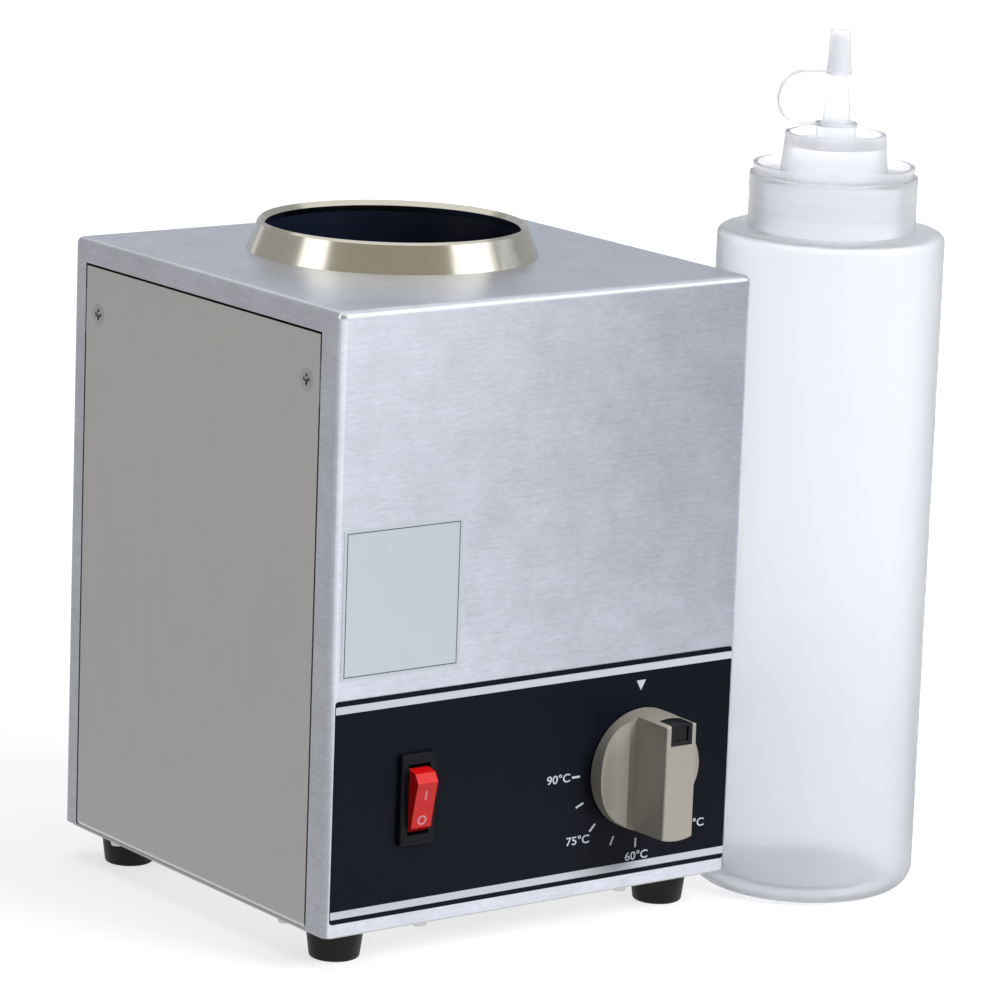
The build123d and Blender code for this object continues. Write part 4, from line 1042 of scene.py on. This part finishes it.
def backdrop(tree, colour, strength):
    node = tree.nodes.new("ShaderNodeBackground")
    node.inputs["Color"].default_value = (*colour, 1)
    node.inputs["Strength"].default_value = strength
    return node.outputs[0]


class WARMER_OT_stage(bpy.types.Operator):
    """Set the floor, the lamps, the background and the camera"""

    bl_idname = "warmer.stage"
    bl_label = "Stage"

    def execute(self, context):
        scene = context.scene
        scene.view_settings.view_transform = "Standard"
        self.floor()
        self.background(scene)
        for lamp in LAMPS:
            self.lamp(scene, *lamp)
        for card in STANDING_CARDS:
            self.card(*card, lying=False)
        for card in LYING_CARDS:
            self.card(*card, lying=True)
        self.camera(scene)
        return {"FINISHED"}

    def card(self, name, place, size, glow, lying):
        """A card that faces the object, or lies on the floor, and shows in reflections alone."""
        start_fresh()
        bpy.ops.mesh.primitive_plane_add(size=1, location=(0, 0, 0))
        card = named(name)
        card.scale = (*size, 1)
        if not lying:
            aim = CARD_AIM - Vector(place)
            card.rotation_euler = aim.to_track_quat("Z", "Y").to_euler()
        card.location = place
        material = bpy.data.materials.new(name)
        material.use_nodes = True
        tree = material.node_tree
        tree.nodes.clear()
        output = tree.nodes.new("ShaderNodeOutputMaterial")
        tree.links.new(emission(tree, glow).outputs[0], output.inputs["Surface"])
        material.cycles.emission_sampling = "NONE"
        card.data.materials.append(material)
        card.visible_camera = False
        card.visible_diffuse = False
        card.visible_transmission = False
        card.visible_shadow = False

    def floor(self):
        start_fresh()
        bpy.ops.mesh.primitive_plane_add(size=FLOOR_SIZE, location=(0, 0, 0))
        floor = named("floor")
        with editing():
            bpy.ops.mesh.subdivide(number_cuts=FLOOR_CUTS)
        material, tree, shader, place = bare_material("floor_pale", Roughness=FLOOR_ROUGHNESS)
        shader.inputs["Base Color"].default_value = (*FLOOR_COLOUR, 1)
        away = tree.nodes.new("ShaderNodeVectorMath")
        away.operation = "LENGTH"
        tree.links.new(place, away.inputs[0])
        glow = emission(tree, WHITE)
        strength = ramp(tree, away.outputs["Value"], GLOW_NEAR, GLOW_FAR, GLOW_LOW, GLOW_HIGH)
        tree.links.new(strength, glow.inputs["Strength"])
        glowing = tree.nodes.new("ShaderNodeAddShader")
        tree.links.new(shader.outputs[0], glowing.inputs[0])
        tree.links.new(glow.outputs[0], glowing.inputs[1])
        surface = mixed(tree, shown(tree), shader.outputs[0], glowing.outputs[0])
        tree.links.new(surface, tree.nodes["Material Output"].inputs["Surface"])
        floor.data.materials.append(material)

    def background(self, scene):
        """White to the camera, and a dim blue-white light to the object."""
        world = scene.world or bpy.data.worlds.new("studio")
        scene.world = world
        world.use_nodes = True
        tree = world.node_tree
        tree.nodes.clear()
        output = tree.nodes.new("ShaderNodeOutputWorld")
        surface = mixed(tree, shown(tree), backdrop(tree, AMBIENT_COLOUR, AMBIENT_STRENGTH),
                        backdrop(tree, WHITE, 1.0))
        tree.links.new(surface, output.inputs["Surface"])

    def lamp(self, scene, name, place, size, power, colour):
        light = bpy.data.lights.new(name, "AREA")
        light.shape = "SQUARE"
        light.size = size
        light.energy = power
        light.color = colour
        lamp = bpy.data.objects.new(name, light)
        scene.collection.objects.link(lamp)
        aim = LAMP_AIM - Vector(place)
        lamp.rotation_euler = aim.to_track_quat("-Z", "Y").to_euler()
        lamp.location = place
        lamp.visible_glossy = False

    def camera(self, scene):
        yaw, pitch, roll = CAMERA_YAW, CAMERA_PITCH, CAMERA_ROLL
        ahead = Vector((sin(yaw) * cos(pitch), cos(yaw) * cos(pitch), -sin(pitch)))
        level = Vector((cos(yaw), -sin(yaw), 0))
        upward = level.cross(ahead)
        right = level * cos(roll) + upward * sin(roll)
        up = upward * cos(roll) - level * sin(roll)
        lens = bpy.data.cameras.new("camera")
        lens.sensor_width = SENSOR_WIDTH
        lens.lens = FOCAL_LENGTH
        lens.clip_start = CLIP_START
        camera = bpy.data.objects.new("camera", lens)
        turn = Matrix((right, up, -ahead)).transposed().to_4x4()
        x, y, z = CAMERA_PLACE
        place = Vector((WARMER_X + x, WARMER_Y + y, SHELL_LOW.z + z))
        camera.matrix_world = Matrix.Translation(place) @ turn
        scene.collection.objects.link(camera)
        scene.camera = camera


# ---------------------------------------------------------------- add-on
OPERATORS = (
    WARMER_OT_stage, WARMER_OT_steelwork, WARMER_OT_fasteners, WARMER_OT_feet,
    WARMER_OT_control_label, WARMER_OT_dial_scale, WARMER_OT_bare_plate, WARMER_OT_switch,
    WARMER_OT_knob, WARMER_OT_works, WARMER_OT_bottle, WARMER_OT_strap,
)


class WARMER_PT_panel(bpy.types.Panel):
    """Lists the steps that dress the warmer"""

    bl_label = "Topping warmer"
    bl_idname = "WARMER_PT_panel"
    bl_space_type = "VIEW_3D"
    bl_region_type = "UI"
    bl_category = "Warmer"

    def draw(self, context):
        for step in OPERATORS:
            self.layout.operator(step.bl_idname)
        for group in (sizes(), colours()):
            for prop in group.bl_rna.properties:
                if prop.identifier not in ("rna_type", "name"):
                    self.layout.prop(group, prop.identifier)


CLASSES = (WarmerSizes, WarmerColours, *OPERATORS, WARMER_PT_panel)


def register():
    for cls in CLASSES:
        bpy.utils.register_class(cls)
    bpy.types.Scene.warmer_sizes = PointerProperty(type=WarmerSizes)
    bpy.types.Scene.warmer_colours = PointerProperty(type=WarmerColours)


def unregister():
    del bpy.types.Scene.warmer_sizes
    del bpy.types.Scene.warmer_colours
    for cls in reversed(CLASSES):
        bpy.utils.unregister_class(cls)


def main():
    register()
    for step in OPERATORS:
        group, name = step.bl_idname.split(".")
        getattr(getattr(bpy.ops, group), name)()
    only(frame["nodes"]["housing_shell"])


if __name__ == "__main__":
    main()
